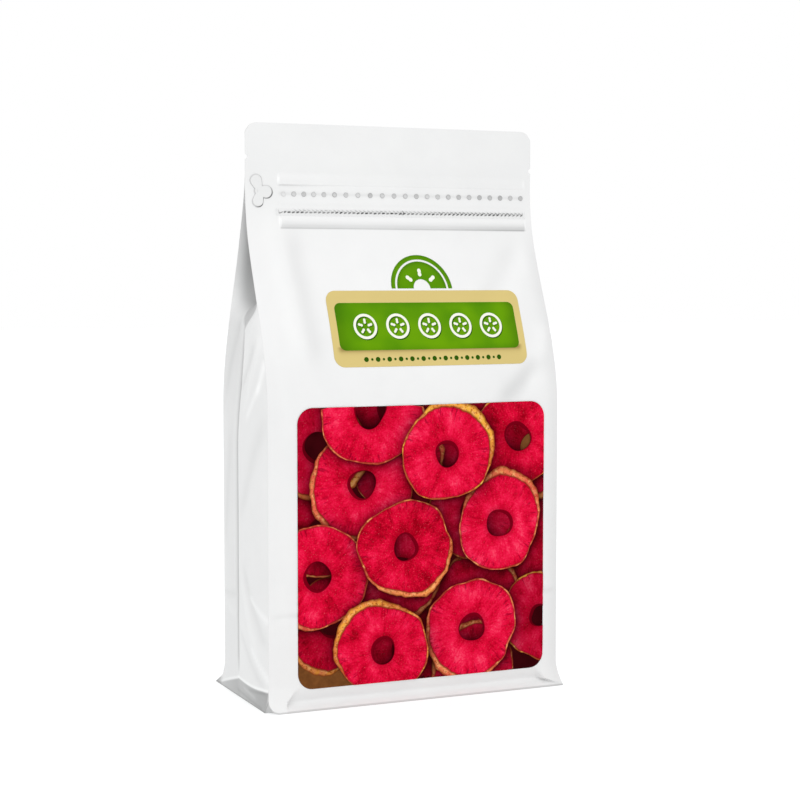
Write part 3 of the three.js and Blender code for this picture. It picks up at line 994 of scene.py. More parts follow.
def add_knurled_line():
    """A fine grid over the groove: flush with the film at its edges, with pits in its middle."""
    x = np.linspace(TRACK_LEFT, TRACK_RIGHT, 1180)[None, :]
    z = np.linspace(TRACK_LOW_Z, TRACK_HIGH_Z, 26)[:, None]
    x, z = np.broadcast_arrays(x, z)
    braid = smooth(x, 5, 35)
    line_z = TRACK_Z - 0.2
    along = stretch(x, -56.6, -56.2, 70.0, 70.4)
    lower = pits(x, z, line_z, 14 + 20 * braid, 0.85, 0.37 - 0.06 * braid, TRACK_LEFT + 4.2) * along
    upper = pits(x, z, line_z + 0.95, -26, 0.9, 0.24, TRACK_LEFT + 3.1) * along
    upper = upper * (0.42 + 0.25 * braid) * smooth(x, -53, -49)
    thread = (0.1 + 0.12 * braid) * hump(z, line_z + 0.4, 0.55) * along
    hook = fold_sum(x, z, TRACK_HOOK)
    knot = 0.5 * hump(np.abs(x - KNOT_X) / 1.1 + np.abs(z - line_z - 0.5) / 1.2, 0.85, 0.28)
    # The same mask deepens the pits and paints shade into them.
    pressed = np.clip(lower + upper + thread + hook + knot, 0, 1)
    edge = stretch(z, TRACK_LOW_Z, TRACK_LOW_Z + 0.5, TRACK_HIGH_Z - 0.5, TRACK_HIGH_Z)
    strand = 0.12 * np.sin(2 * np.pi * (x + 0.9 * z) / PIT_PITCH) * edge * smooth(x, -56, -52)
    points = wall_points(FRONT, x, z, 0.03 + 0.08 * edge + strand - 0.3 * pressed)
    return add_grid("knurled_line", points, knurl, None, {"pressed": pressed})


def knurl_finish():
    """White film with painted shade, nearly black, at the bottom of its pits and in a cut."""
    finish = Finish("knurled_film")
    colour = finish.mix(finish.attribute("pressed"), KNURL_WHITE, PIT_PAINTED_SHADE)
    return on_film(finish, colour, 0.45, 0.3)


knurl = knurl_finish()
knurled_line = add_knurled_line()

# %% [markdown]
# ## The tear tab
#
# Left of the zip, a tab of three round lobes is punched half through the film. Its outline is
# written as a radius for each angle: that of a small circle, or where a lobe lies that way, the
# distance to the lobe's far side. The tab stands a third of a millimetre proud. Its cut is painted
# shade, darkest at the lower right, away from a light at the upper left.

# %% Tear tab
TAB_X, TAB_Z = -67.8, 240.6
TAB_WAIST = 2.7
TAB_LOBES = [(112.0, 5.0, 3.0), (-8.0, 3.1, 3.0), (256.0, 4.9, 2.8)]
TAB_SOFTEN = 4
TAB_RAISE = 0.34
TAB_LIFT = 0.04


def tab_outline(turn):
    """A lobe of radius a whose middle is d away is met at d cos(t) + sqrt(a^2 - d^2 sin(t)^2). The
    largest of these and the waist counts, averaged over a few neighbours to round the notches."""
    radius = np.full(turn.shape, TAB_WAIST)
    for towards_deg, away, lobe_radius in TAB_LOBES:
        off = turn - math.radians(towards_deg)
        under_root = lobe_radius**2 - (away * np.sin(off)) ** 2
        met = away * np.cos(off) + np.sqrt(np.clip(under_root, 0, None))
        radius = np.where(under_root > 0, np.maximum(radius, met), radius)
    neighbours = range(-TAB_SOFTEN, TAB_SOFTEN + 1)
    return np.mean([np.roll(radius, step) for step in neighbours], axis=0)


def add_tear_tab():
    """Rows inside the outline are raised, and fall to the film across the cut. The cut is painted
    shade, darkest where the outline faces down to the right."""
    inset = np.array([1.5, 0.8, 0.45, 0.25, 0.12, 0.0, -0.12, -0.3, -0.5])
    rise = np.array([1, 1, 1, 0.85, 0.5, 0.12, 0.0, 0.0, 0.0]) * TAB_RAISE
    turn = round_angles(180)
    lobes = tab_outline(turn)
    radii = np.concatenate([lobes[None, :] * [[0.25], [0.5]], lobes[None, :] - inset[:, None]])
    rise = np.concatenate([[TAB_RAISE, TAB_RAISE], rise])
    points, quads, triangles = disc_points(TAB_X, TAB_Z, radii[None], TAB_LIFT)
    points[:, 1] -= np.append(np.repeat(rise, turn.size), TAB_RAISE)
    slope = (np.roll(lobes, -1) - np.roll(lobes, 1)) / (2 * (turn[1] - turn[0]))
    facing = turn - np.arctan2(slope, lobes)
    # Painted shade in the cut, strongest where the outline faces down to the right.
    painted_shade_side = 0.3 + 0.95 * np.clip(np.cos(facing + 0.6), 0, 1) ** 1.2
    cut = np.append([0.0, 0.0], hump(inset, 0.0, 0.27))[:, None] * painted_shade_side[None, :]
    values = {"pressed": np.append(cut, 0.0)}
    return add_piece("tear_tab", points, [quads, triangles], knurl, None, values)


tear_tab = add_tear_tab()

# %% [markdown]
# ## Laying out the picture
#
# The picture shows red apple rings heaped on each other. A photograph can't be used, so the picture
# is built the way a collage is: each ring is a printed patch of its own, and later rings cover
# earlier ones. Rings lie in staggered rows, which leaves few gaps, and a seeded draw moves, turns
# and resizes them, so that the rows don't show. A lower layer is turned and shifted by about half
# a step, so that its rings show through the holes of the upper ones.

# %% Layout
PICTURE_X, PICTURE_Z, PICTURE_WIDTH, PICTURE_HEIGHT = node_patch("picture_panel")
PICTURE_CORNER = 7.5
EDGE_KEEP, EDGE_CATCH = 2, 9
BOARD_FREE = 0.8
WAVES = np.arange(2, 12)
layout_rng = np.random.default_rng(23)


def board_corner(x, z):
    """How near the point is to the top right or the bottom left corner, where the board shows: over
    about 0.8 in the corner itself, 0 in the other two."""
    near = np.abs(x) / PICTURE_WIDTH + np.abs(z) / PICTURE_HEIGHT
    return np.where(x * z > 0, near, 0.0)


def staggered(pitch_x, pitch_z, turn_deg, shift, jitter):
    """Places in rows, every other row shifted by half a pitch, the rows turned by an angle, and
    each place moved a little at random. A place up to EDGE_CATCH beyond a line EDGE_KEEP inside the
    picture is moved back to that line. No place is kept at the board's corners."""
    count = np.arange(-3, 4)
    row, column = [grid.ravel() for grid in np.meshgrid(count, count, indexing="ij")]
    u = (column + 0.5 * (row % 2)) * pitch_x
    w = row * pitch_z
    cos, sin = math.cos(math.radians(turn_deg)), math.sin(math.radians(turn_deg))
    x = u * cos - w * sin + shift[0] + layout_rng.uniform(-jitter, jitter, u.size)
    z = u * sin + w * cos + shift[1] + layout_rng.uniform(-jitter, jitter, u.size)
    edge_x, edge_z = PICTURE_WIDTH / 2 - EDGE_KEEP, PICTURE_HEIGHT / 2 - EDGE_KEEP
    near = (np.abs(x) < edge_x + EDGE_CATCH) & (np.abs(z) < edge_z + EDGE_CATCH)
    inside = near & (board_corner(x, z) < BOARD_FREE)
    return np.clip(x[inside], -edge_x, edge_x), np.clip(z[inside], -edge_z, edge_z)


def layer(places, low, high):
    """The rings of one layer, as a dictionary of arrays in a random order of stacking. Their radii
    lie between low and high."""
    order = layout_rng.permutation(places[0].size)
    n = order.size
    radius = layout_rng.uniform(low, high, n)
    return {
        "x": places[0][order],
        "z": places[1][order],
        "radius": radius,
        "hole": radius * layout_rng.uniform(0.27, 0.33, n),
        "waves": layout_rng.normal(0, 1, (n, WAVES.size)) * 0.095 / WAVES**1.35,
        "phases": layout_rng.uniform(0, 2 * np.pi, (n, WAVES.size)),
        "turn": layout_rng.uniform(0, 2 * np.pi, n),
        "thick": layout_rng.uniform(1.2, 3.6, n),
        "thick_at": layout_rng.uniform(0, 2 * np.pi, n),
        "tone": layout_rng.uniform(-1, 1, n),
        "peel": layout_rng.uniform(0, 1, n),
        "light": layout_rng.uniform(0, 2 * np.pi, n),
    }


low_places = staggered(pitch_x=41, pitch_z=36, turn_deg=-24, shift=(20, 16), jitter=5)
under = layer(low_places, low=20, high=24)
high_places = staggered(pitch_x=45, pitch_z=40, turn_deg=13, shift=(-6, -4), jitter=6)
over = layer(high_places, low=21.5, high=25.5)
rings = {key: np.concatenate([under[key], over[key]]) for key in under}
RING_COUNT = rings["x"].size
UNDER_COUNT = under["x"].size
print(UNDER_COUNT, "rings under", over["x"].size)

# %% Outlines
PEEL_LEAST = 0.4


def ripple(ring, angle, count):
    """The sum of a_k cos(k angle + p_k) over the first count waves of a ring. ring is one number,
    or an array of them with a row of angles each."""
    waves, phases = rings["waves"][ring], rings["phases"][ring]
    return sum(
        waves[..., i, None] * np.cos(WAVES[i] * angle + phases[..., i, None]) for i in range(count)
    )


def flesh_outline(ring, angle):
    """r = r0 (1 + ripple)."""
    return rings["radius"][ring][..., None] * (1 + ripple(ring, angle, WAVES.size))


def hole_outline(ring, angle):
    """A calmer outline with the first three waves, turned against the outer one."""
    return rings["hole"][ring][..., None] * (1 + 1.2 * ripple(ring, angle + 1.3, 3))


def peel_side(ring, angle):
    """1 in the middle of the side where a ring's peel is thick, 0 on the other side."""
    return np.clip(np.cos(angle - rings["thick_at"][ring][..., None]), 0, 1) ** 1.2


def peel_outline(ring, angle):
    """The outer edge of the peel, without its knobs."""
    thick = rings["thick"][ring][..., None] * peel_side(ring, angle)
    return flesh_outline(ring, angle) + PEEL_LEAST + thick


def panel_reach(x, z, angle):
    """How far the picture's rounded rectangle reaches from (x, z) at an angle, by bisection."""
    half = np.array([PICTURE_WIDTH, PICTURE_HEIGHT]) / 2 - PICTURE_CORNER
    near = np.zeros(np.broadcast(x, angle).shape)
    far = near + 200.0
    for _ in range(26):
        middle = (near + far) / 2
        dx = np.maximum(np.abs(x + middle * np.cos(angle)) - half[0], 0)
        dz = np.maximum(np.abs(z + middle * np.sin(angle)) - half[1], 0)
        inside = np.hypot(dx, dz) < PICTURE_CORNER
        near, far = np.where(inside, middle, near), np.where(inside, far, middle)
    return near


ANGLES = 132
angle = round_angles(ANGLES)
every = np.arange(RING_COUNT)
reach = panel_reach(rings["x"][:, None], rings["z"][:, None], angle)[:, None]
flesh_edge = flesh_outline(every, angle)[:, None]
hole_edge = hole_outline(every, angle)[:, None]
print("flesh radii from", round(flesh_edge.min(), 1), "to", round(flesh_edge.max(), 1), "mm")

# %% [markdown]
# ## Shade between the rings
#
# What makes a heap look deep is the shade that each ring throws on those under it. It is worked
# out once for each point of a ring, from every ring above it: dark right beside the edge, and
# fading over a few millimetres. In a ring's hole the shade is deeper, and darkest at one side.

# %% Shade
SHADE_FADE = 3.2
HOLE_FADE = 4.5
SHADE_SIDE = math.radians(-50)
SHADE_MEAN, SHADE_MORE = 0.82, 0.13
HOLE_LEAST, HOLE_MORE = 0.32, 0.66
HOLE_CORE = 4.0
UNDER_LIGHT = 0.64
FAR_APART = 34.0


def shade_at(level, x, z):
    """How dark the points of ring number level are, from 0 to 1, by the rings above it. Beside a
    ring the shade is exp(-distance / fade), stronger below its right. In its hole it is deepest
    at the ring's own dark side."""
    light = np.full(x.shape, UNDER_LIGHT if level < UNDER_COUNT else 1.0)
    for above in range(level + 1, RING_COUNT):
        dx, dz = x - rings["x"][above], z - rings["z"][above]
        away = np.hypot(dx, dz)
        if away.min() > FAR_APART:
            continue
        toward = np.arctan2(dz, dx)
        edge = peel_outline(above, toward)
        hole = hole_outline(above, toward)
        strength = SHADE_MEAN + SHADE_MORE * np.cos(toward - SHADE_SIDE)
        outer = strength * np.exp(-np.maximum(0, away - edge) / SHADE_FADE)
        side = 0.5 + 0.5 * np.cos(toward - rings["light"][above]) * np.clip(away / HOLE_CORE, 0, 1)
        inner = HOLE_LEAST + HOLE_MORE * side**1.4 * np.exp(-np.maximum(0, hole - away) / HOLE_FADE)
        light = light * (1 - np.where(away < (edge + hole) / 2, inner, outer))
    return 1 - light


print("shade fades over", SHADE_FADE, "mm")

# %% [markdown]
# ## The flesh of the rings
#
# Dried red flesh is crimson with a pale bloom. Fine fibres run out from the core, the surface is
# mottled, and thin dark cracks start at the rim. The patterns follow each ring, so the points
# carry their own coordinates: `grain` is the place in millimetres turned with the ring, and
# `fibre` changes fast round the ring and slowly along its radius.

# %% Flesh finish
PRINT_ROUGHNESS = 0.5
PRINT_GLOSS = 0.005


def flesh_finish():
    """Dark to pale crimson by the sum of mottle, specks, streaks and tone. Over it lie the bloom, the
    glints, the core, the cracks, the rim, the hole's wall and the shade."""
    finish = Finish("printed_flesh")
    grain, fibre = finish.attribute("grain", "Vector"), finish.attribute("fibre", "Vector")
    rho, tone = finish.attribute("rho"), finish.attribute("tone")
    mottle = finish.noise(grain, 0.11, 3.0, 0.55)
    speck = finish.noise(grain, 1.1, 3.0, 0.65)
    streak = finish.noise(fibre, 1.0, 3.0, 0.6)
    lightness = mottle + speck * 0.55 + streak * 0.4 + tone * 0.09 - 0.48
    flesh = finish.colours(
        lightness,
        (0.22, (0.26, 0.0, 0.006)),
        (0.4, (0.5, 0.001, 0.019)),
        (0.54, (0.67, 0.003, 0.035)),
        (0.68, (0.79, 0.01, 0.062)),
        (0.84, (0.87, 0.055, 0.12)),
    )
    bloom = finish.between(finish.noise(grain, 0.75, 3.0, 0.7), 0.58, 0.72)
    glint = finish.between(finish.noise(grain, 1.4, 2.0, 0.6), 0.6, 0.74)
    crack_noise = finish.noise(fibre, 1.7, 2.0, 0.6)
    crack = finish.between(crack_noise, 0.57, 0.66) * finish.between(rho, 0.35, 1.0)
    colour = finish.layered(
        flesh,
        (bloom * finish.between(mottle, 0.45, 0.65) * 0.3, (0.86, 0.18, 0.24)),
        (glint * 0.3, (0.9, 0.22, 0.27)),
        (finish.between(rho, 0.2, 0.0) * 0.45, (0.3, 0.0, 0.008)),
        (crack * 0.7, (0.2, 0.0, 0.012)),
        (finish.between(rho, 0.9, 1.0) * 0.5, (0.3, 0.0, 0.01)),
        (finish.attribute("wall"), (0.15, 0.0, 0.006)),
        (finish.attribute("shade"), (0.014, 0.0, 0.001)),
    )
    return on_film(finish, colour, PRINT_ROUGHNESS, PRINT_GLOSS)


flesh = flesh_finish()
print("made", flesh.name)

# %% Flesh pieces
PRINT_LIFT = 0.1
RING_LIFT = 0.015
WALL_ROWS = 3
WALL_LEAST, WALL_MORE = 0.35, 1.5
WALL_LAP = 0.12
FLESH_SHARE = np.array([0, 0.04, 0.1, 0.2, 0.32, 0.46, 0.6, 0.74, 0.86, 0.94, 1.0])


def drop_flat(points, quads):
    """The quads that have an area. Where the picture's edge cuts a ring, some have none."""
    a, b, c, d = (points[quads[:, i]] for i in range(4))
    area = np.linalg.norm(np.cross(c - a, d - b), axis=1) / 2
    return quads[area > 1e-4]


def add_ring_layer(name, radii, extra_lift, finish, values):
    """One piece with a patch for each ring, from radii (rings, rows, angles). Each ring lies a little
    higher than the one before it. values[name] is a list of one part, or of the three parts of a
    vector, which are spread over all points. The shade is added to them."""
    x = rings["x"][:, None, None] + radii * np.cos(angle)
    z = rings["z"][:, None, None] + radii * np.sin(angle)
    shade = np.stack([shade_at(i, x[i], z[i]) for i in every])
    spread = {
        key: np.stack([np.broadcast_to(part, radii.shape) for part in parts], -1)
        for key, parts in {**values, "shade": [shade]}.items()
    }
    lift = PRINT_LIFT + RING_LIFT * (1 + every) + extra_lift
    points, quads = ring_points(PICTURE_X + rings["x"], PICTURE_Z + rings["z"], radii, lift)
    return add_piece(name, points, [drop_flat(points, quads)], finish, None, spread)


def add_flesh():
    """Rows from the inside of the hole's wall out to the peel, cut off by the picture's edge. The
    wall is widest on the side away from the ring's dark one."""
    wall_side = 0.5 + 0.5 * np.cos(angle - rings["light"][:, None, None] + np.pi)
    wall = WALL_LEAST + WALL_MORE * wall_side**2
    inner = hole_edge - WALL_LAP
    width = flesh_edge - hole_edge
    body = hole_edge + width * FLESH_SHARE[:, None]
    radii = np.concatenate([hole_edge - wall, inner - wall / 2, inner, body], axis=1)
    radii = np.minimum(radii, reach)
    rows = radii.shape[1]
    deep = (np.arange(rows) < WALL_ROWS) * np.linspace(1, 0.55, rows)
    turned = angle + rings["turn"][:, None, None]
    number = every[:, None, None]
    values = {
        "grain": [radii * np.cos(turned), radii * np.sin(turned), 40.0 * number],
        "fibre": [11 * np.cos(turned), 11 * np.sin(turned), 0.12 * radii + 9 * number],
        "rho": [np.clip((radii - hole_edge) / width, 0, 1)],
        "wall": [deep[:, None]],
        "tone": [rings["tone"][:, None, None]],
    }
    return add_ring_layer("picture_flesh", radii, 0.0, flesh, values)


picture_flesh = add_flesh()

# %% [markdown]
# ## The peel
#
# Round each ring runs its peel, seen edge on. It is thick on the side where the slice tilts to the
# viewer and a thin line on the other side, broken where the red juice stained it. Dried peel is
# golden, with pink stretches, brown specks and a knobbly outline.

# %% Peel finish and piece


def peel_finish():
    """Pink over gold to olive by the ring's own tint and two noises. Over it lie the shine, the red
    stains, the dark inner and outer edges, the specks and the shade."""
    finish = Finish("printed_peel")
    grain = finish.attribute("grain", "Vector")
    tint = finish.attribute("peel") * 0.8 + finish.noise(grain, 0.14, 2.0) * 0.8 - 0.4
    tint = tint + finish.noise(grain, 0.5, 2.0) * 0.6 - 0.3
    skin = finish.colours(
        tint,
        (0.0, (0.72, 0.13, 0.07)),
        (0.3, (0.8, 0.27, 0.09)),
        (0.5, (0.8, 0.3, 0.05)),
        (0.78, (0.84, 0.42, 0.06)),
        (1.0, (0.5, 0.4, 0.012)),
    )
    shine = finish.between(finish.noise(grain, 0.42, 2.0), 0.5, 0.62)
    broken = finish.between(finish.noise(grain, 0.17, 2.0), 0.38, 0.52)
    across = finish.attribute("across")
    speck = finish.between(finish.noise(grain, 0.65, 3.0, 0.75), 0.52, 0.62)
    colour = finish.layered(
        skin,
        (shine * 0.5, (0.92, 0.5, 0.2)),
        (finish.attribute("thin") * broken * 0.85, (0.36, 0.02, 0.02)),
        (finish.between(across, 0.35, 0.05) * 0.9, (0.2, 0.006, 0.006)),
        (finish.between(across, 0.6, 1.0) * 0.85, (0.2, 0.03, 0.004)),
        (speck * 0.7, (0.24, 0.03, 0.005)),
        (finish.attribute("shade"), (0.02, 0.002, 0.0)),
    )
    return on_film(finish, colour, PRINT_ROUGHNESS, PRINT_GLOSS)


KNOB_WAVES = (7, 12, 19, 31, 41)
PEEL_LAP = 0.4
PEEL_NARROWEST = 0.5
PEEL_ROWS = np.array([0.0, 0.12, 0.3, 0.5, 0.7, 0.88, 1.0])


def add_peel():
    """Rows from the peel's inner edge, which laps a little over the flesh, to its outer one. Higher
    waves make both edges knobbly, most on the thick side."""
    side = peel_side(every, angle)[:, None]
    phases = rings["phases"][:, : len(KNOB_WAVES), None, None] * 2
    knobs = sum(np.cos(k * angle + phases[:, i]) / (i + 2.5) for i, k in enumerate(KNOB_WAVES))
    knobs = knobs * (0.6 + side)
    inner = flesh_edge - PEEL_LAP - 0.42 * np.roll(knobs, 17, axis=-1)
    outer = peel_outline(every, angle)[:, None] + 0.5 * knobs
    outer = np.maximum(outer, inner + PEEL_NARROWEST)
    radii = np.minimum(inner + (outer - inner) * PEEL_ROWS[:, None], reach)
    values = {
        "grain": [radii * np.cos(angle), radii * np.sin(angle), 40.0 * every[:, None, None]],
        "across": [PEEL_ROWS[:, None]],
        "peel": [rings["peel"][:, None, None]],
        "thin": [1 - side],
    }
    return add_ring_layer("picture_peel", radii, 0.01, peel, values)


peel = peel_finish()
picture_peel = add_peel()

# %% [markdown]
# ## The ground of the picture
#
# Where no ring lies, the eye falls into the heap, which is nearly black, and in two corners onto a
# brown wooden board. The ground is one rounded patch under all the rings.

# %% Ground


def ground_finish():
    """Nearly black with a little red between the rings, and grained brown where `board` is 1."""
    finish = Finish("printed_ground")
    place = finish.place()
    gap = finish.mix(finish.noise(place, 90.0, 3.0), (0.006, 0.0, 0.0005), (0.05, 0.002, 0.004))
    wood_grain = finish.noise(place, 220.0, 3.0, 0.6)
    wood = finish.mix(wood_grain, (0.06, 0.02, 0.006), (0.24, 0.09, 0.025))
    ground = finish.mix(finish.attribute("board"), gap, wood)
    return on_film(finish, ground, PRINT_ROUGHNESS, PRINT_GLOSS)


def add_ground():
    """The patch that carries all the rings, with board in two of its corners."""
    x, z = rounded_patch(PICTURE_X, PICTURE_Z, PICTURE_WIDTH, PICTURE_HEIGHT, PICTURE_CORNER, 1.6)
    points = wall_points(FRONT, x, z, PRINT_LIFT)
    values = {"board": smooth(board_corner(x - PICTURE_X, z - PICTURE_Z), 0.7, 0.76)}
    return add_grid("picture_ground", points, dark_ground, "picture_panel", values)


dark_ground = ground_finish()
picture_ground = add_ground()

# %% [markdown]
# ## The badge
#
# Above the picture sits a plain badge: a tan card, a green field on it, and half an apple slice
# that stands on the card. The field has a row of slice motifs, and the card a dotted rule. Ink has
# hardly any thickness, so each print is a flat patch one or two tenths of a millimetre off the
# film, just enough to keep it clear of the one below.

# %% Badge finishes
TAN, TAN_DARK = (0.6, 0.475, 0.185), (0.2, 0.13, 0.03)
GREEN_DARK, GREEN, GREEN_LIGHT = (0.022, 0.085, 0.001), (0.07, 0.225, 0.0012), (0.13, 0.315, 0.001)
CREAM = (0.8, 0.8, 0.72)
INK_GLOSS = 0.03


def printed(name, first, second, dark):
    """A printed colour that is mottled from first to second, and dark where `shade` says."""
    finish = Finish(name)
    cloud = finish.between(finish.noise(finish.place(), 45.0, 2.0), 0.3, 0.7)
    shaded = finish.mix(finish.attribute("shade"), finish.mix(cloud, first, second), dark)
    return on_film(finish, shaded, 0.45, INK_GLOSS)


tan_ink = printed("tan_ink", TAN, tuple(1.04 * v for v in TAN), TAN_DARK)
green_ink = printed("green_ink", GREEN, GREEN_LIGHT, GREEN_DARK)
dark_ink = printed("dark_green_ink", GREEN_DARK, GREEN_DARK, GREEN_DARK)
cream_ink = printed("cream_ink", CREAM, CREAM, (0.4, 0.4, 0.3))
print("made 4 inks")

# %% Card and field
CARD_X, CARD_Z, CARD_WIDTH, CARD_HEIGHT = node_patch("badge_card")
FIELD_X, FIELD_Z, FIELD_WIDTH, FIELD_HEIGHT = node_patch("badge_field")
CARD_CORNER, FIELD_CORNER = 5.0, 3.0
BADGE_LIFT = 0.1
RULE_LIFT = BADGE_LIFT + 0.05
FIELD_LIFT = BADGE_LIFT + 0.06
SHADOW_LIFT = BADGE_LIFT + 0.09
MOTIF_LIFT = BADGE_LIFT + 0.12


def add_card():
    """The tan card, shaded just below the green field."""
    x, z = rounded_patch(CARD_X, CARD_Z, CARD_WIDTH, CARD_HEIGHT, CARD_CORNER, 0.8)
    below = FIELD_Z - FIELD_HEIGHT / 2 - z
    inside = 1 - smooth(np.abs(x - FIELD_X), FIELD_WIDTH / 2 - 1, FIELD_WIDTH / 2 + 2)
    shade = 0.75 * np.exp(-np.maximum(0, below) / 0.9) * inside * (below > -1.5)
    points = wall_points(FRONT, x, z, BADGE_LIFT)
    return add_grid("card", points, tan_ink, "badge_card", {"shade": shade})


def add_field():
    """The green field, a little darker towards its edges."""
    x, z = rounded_patch(FIELD_X, FIELD_Z, FIELD_WIDTH, FIELD_HEIGHT, FIELD_CORNER, 1.0)
    shade = 0.55 * smooth(np.abs(x - FIELD_X), FIELD_WIDTH / 2 - 9, FIELD_WIDTH / 2 + 3)
    shade = shade + 0.2 * smooth(np.abs(z - FIELD_Z), FIELD_HEIGHT / 2 - 3, FIELD_HEIGHT / 2 + 1)
    points = wall_points(FRONT, x, z, FIELD_LIFT)
    return add_grid("field", points, green_ink, "badge_field", {"shade": shade})


card = add_card()
field = add_field()

# %% Flat prints


def add_print(name, mesh, finish):
    """A print without shade. mesh is what ring_points or disc_points gives."""
    points, *faces = mesh
    return add_piece(name, points, faces, finish, None, {"shade": np.zeros(len(points))})


def discs(x, z, radius, lift):
    """Flat discs with two rows of points each. radius is (discs, angles)."""
    return disc_points(x, z, radius[:, None, :] * [[0.5], [1.0]], lift)


def pips(x, z, turn, least, more, angles, lift):
    """Discs of radius least + more cos^2 t, where t starts at the way that each pip points."""
    return discs(x, z, least + more * np.cos(round_angles(angles) - turn[:, None]) ** 2, lift)


def in_row(count, pitch):
    """Places along a row about 0."""
    return (np.arange(count) - (count - 1) / 2) * pitch


print("flat prints ready")

# %% Row of slice motifs
MOTIF_COUNT = 5
MOTIF_PITCH = 16.5
MOTIF_RADIUS = 5.9
MOTIF_STROKE = 1.25
PIP_COUNT = 5
PIP_AWAY = 2.5
motif_x = FIELD_X + in_row(MOTIF_COUNT, MOTIF_PITCH)


def add_motif_rings(name, finish, shift_x, shift_z, lift):
    """Each motif is a ring, like the peel of a slice."""
    edges = [[MOTIF_RADIUS - MOTIF_STROKE], [MOTIF_RADIUS]]
    radii = np.broadcast_to(edges, (MOTIF_COUNT, 2, 64))
    return add_print(name, ring_points(motif_x + shift_x, FIELD_Z + shift_z, radii, lift), finish)


def add_motif_pips(name, finish, shift_x, shift_z, lift):
    """Five pips about the middle of each motif, pointing outwards."""
    turn = 2 * np.pi * (np.arange(PIP_COUNT) + 0.25) / PIP_COUNT
    x = (motif_x[:, None] + PIP_AWAY * np.cos(turn)).ravel() + shift_x
    z = np.tile(FIELD_Z + PIP_AWAY * np.sin(turn), MOTIF_COUNT) + shift_z
    return add_print(name, pips(x, z, np.tile(turn, MOTIF_COUNT), 0.5, 0.75, 24, lift), finish)


motif_shadows = add_motif_rings("motif_shadows", dark_ink, 0.35, -0.5, SHADOW_LIFT)
motif_rings = add_motif_rings("motif_rings", cream_ink, 0, 0, MOTIF_LIFT)
pip_shadows = add_motif_pips("pip_shadows", dark_ink, 0.3, -0.4, SHADOW_LIFT)
motif_pips = add_motif_pips("motif_pips", cream_ink, 0, 0, MOTIF_LIFT)

# %% Dotted rule
RULE_COUNT = 25
RULE_PITCH = 2.9
RULE_Z = (CARD_Z - CARD_HEIGHT / 2 + FIELD_Z - FIELD_HEIGHT / 2) / 2 - 0.4


def add_rule():
    """Dots of two sizes in turn along the card's lower strip."""
    size = np.where(np.arange(RULE_COUNT) % 2 == 0, 1.15, 0.6)
    x = CARD_X + in_row(RULE_COUNT, RULE_PITCH)
    dots = discs(x, RULE_Z, size[:, None] * np.ones(20), RULE_LIFT)
    return add_print("dotted_rule", dots, dark_ink)


dotted_rule = add_rule()

# %% Half slice on the card
SLICE_X, _, _, SLICE_RADIUS = node_patch("badge_slice")
SLICE_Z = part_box("badge_slice")[0].z / MM
SLICE_PEEL_INNER = 13.9
SLICE_FLESH_INNER, SLICE_FLESH_OUTER = 4.4, 12.9
SLICE_PIP_AWAY = 7.6


def half_ring(name, inner, outer, node, shade):
    """A half ring that stands on the card: rows from the inner to the outer radius, over half a
    turn, darker towards the outer one."""
    turn = np.linspace(0, np.pi, 65)
    radius = np.linspace(inner, outer, 6)[:, None]
    x, z = SLICE_X - radius * np.cos(turn), SLICE_Z + radius * np.sin(turn)
    points = wall_points(FRONT, x, z, BADGE_LIFT)
    edge = np.broadcast_to(smooth(radius, outer - 2.5, outer + 1), x.shape)
    return add_grid(name, points, green_ink, node, {"shade": shade * edge})


def add_half_slice_pips():
    """Three cream pips in the flesh of the half slice."""
    turn = np.radians([38.0, 90.0, 142.0])
    x = SLICE_X + SLICE_PIP_AWAY * np.cos(turn)
    z = SLICE_Z + SLICE_PIP_AWAY * np.sin(turn)
    return add_print("half_slice_pips", pips(x, z, turn, 0.75, 1.15, 28, RULE_LIFT), cream_ink)


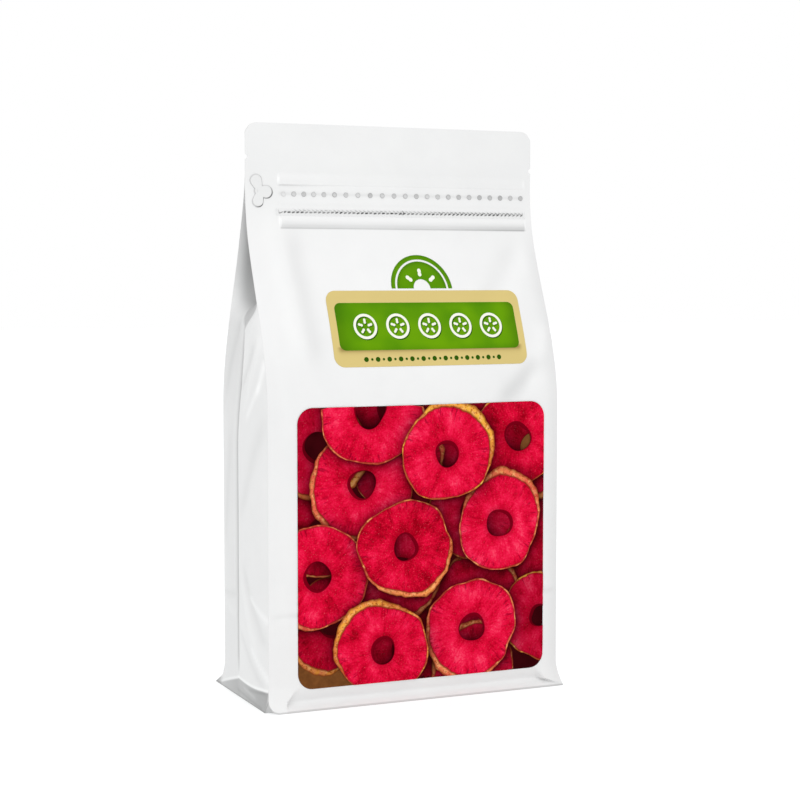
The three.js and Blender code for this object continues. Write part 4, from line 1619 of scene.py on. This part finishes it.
half_slice_peel = half_ring("half_slice_peel", SLICE_PEEL_INNER, SLICE_RADIUS, "badge_slice", 0.4)
half_slice_flesh = half_ring("half_slice_flesh", SLICE_FLESH_INNER, SLICE_FLESH_OUTER, None, 0.6)
half_slice_pips = add_half_slice_pips()

# %% [markdown]
# ## Floor and light
#
# The photograph is a bright studio picture: floor and background are pure white, and the object
# has hardly a shadow. A white world lights it from everywhere, and one large soft lamp high in
# front, a little to the left, makes the front brighter than the side. The floor glows a little.

# %% Floor and lamps
FLOOR_REACH = 6.0
FLOOR_GLOW = 0.66
FLOOR_COLOUR = (0.396, 0.41, 0.41, 1.0)
WHITE = (1.0, 1.0, 1.0, 1.0)
KEY_PLACE = (-0.3, -1.0, 1.94)
KEY_SIZE = 1.2
KEY_WATTS = 9.8


def add_floor():
    """A wide square that glows a little, so that shadows hardly show on it. Its tint is a little
    cool, which makes up for the red that the picture throws on it."""
    mesh = bpy.data.meshes.new("floor")
    corners = [(-1, -1), (1, -1), (1, 1), (-1, 1)]
    mesh.from_pydata([(FLOOR_REACH * x, FLOOR_REACH * y, 0) for x, y in corners], [], [(0, 1, 2, 3)])
    finish = Finish("white_floor").surface(
        Base_Color=FLOOR_COLOUR,
        Roughness=0.9,
        Specular_IOR_Level=0.1,
        Emission_Color=WHITE,
        Emission_Strength=FLOOR_GLOW,
    )
    mesh.materials.append(finish)
    floor = bpy.data.objects.new("floor", mesh)
    floor.location.z = -0.0001
    bpy.context.scene.collection.objects.link(floor)
    return floor


def add_lamp(name, place, size, watts):
    """A square lamp that looks at the middle of the pouch."""
    lamp = bpy.data.objects.new(name, bpy.data.lights.new(name, "AREA"))
    lamp.data.size = size
    lamp.data.energy = watts
    aim(lamp, place)
    return lamp


def add_world():
    """A white world, which lights the pouch evenly from everywhere."""
    world = bpy.data.worlds.new("white_studio")
    world.use_nodes = True
    background = world.node_tree.nodes["Background"]
    background.inputs["Color"].default_value = WHITE
    background.inputs["Strength"].default_value = 1.0
    bpy.context.scene.world = world
    bpy.context.scene.view_settings.view_transform = "Standard"
    return world


floor = add_floor()
world = add_world()
key = add_lamp("key", KEY_PLACE, KEY_SIZE, KEY_WATTS)
print("key lamp", key.data.energy, "W")
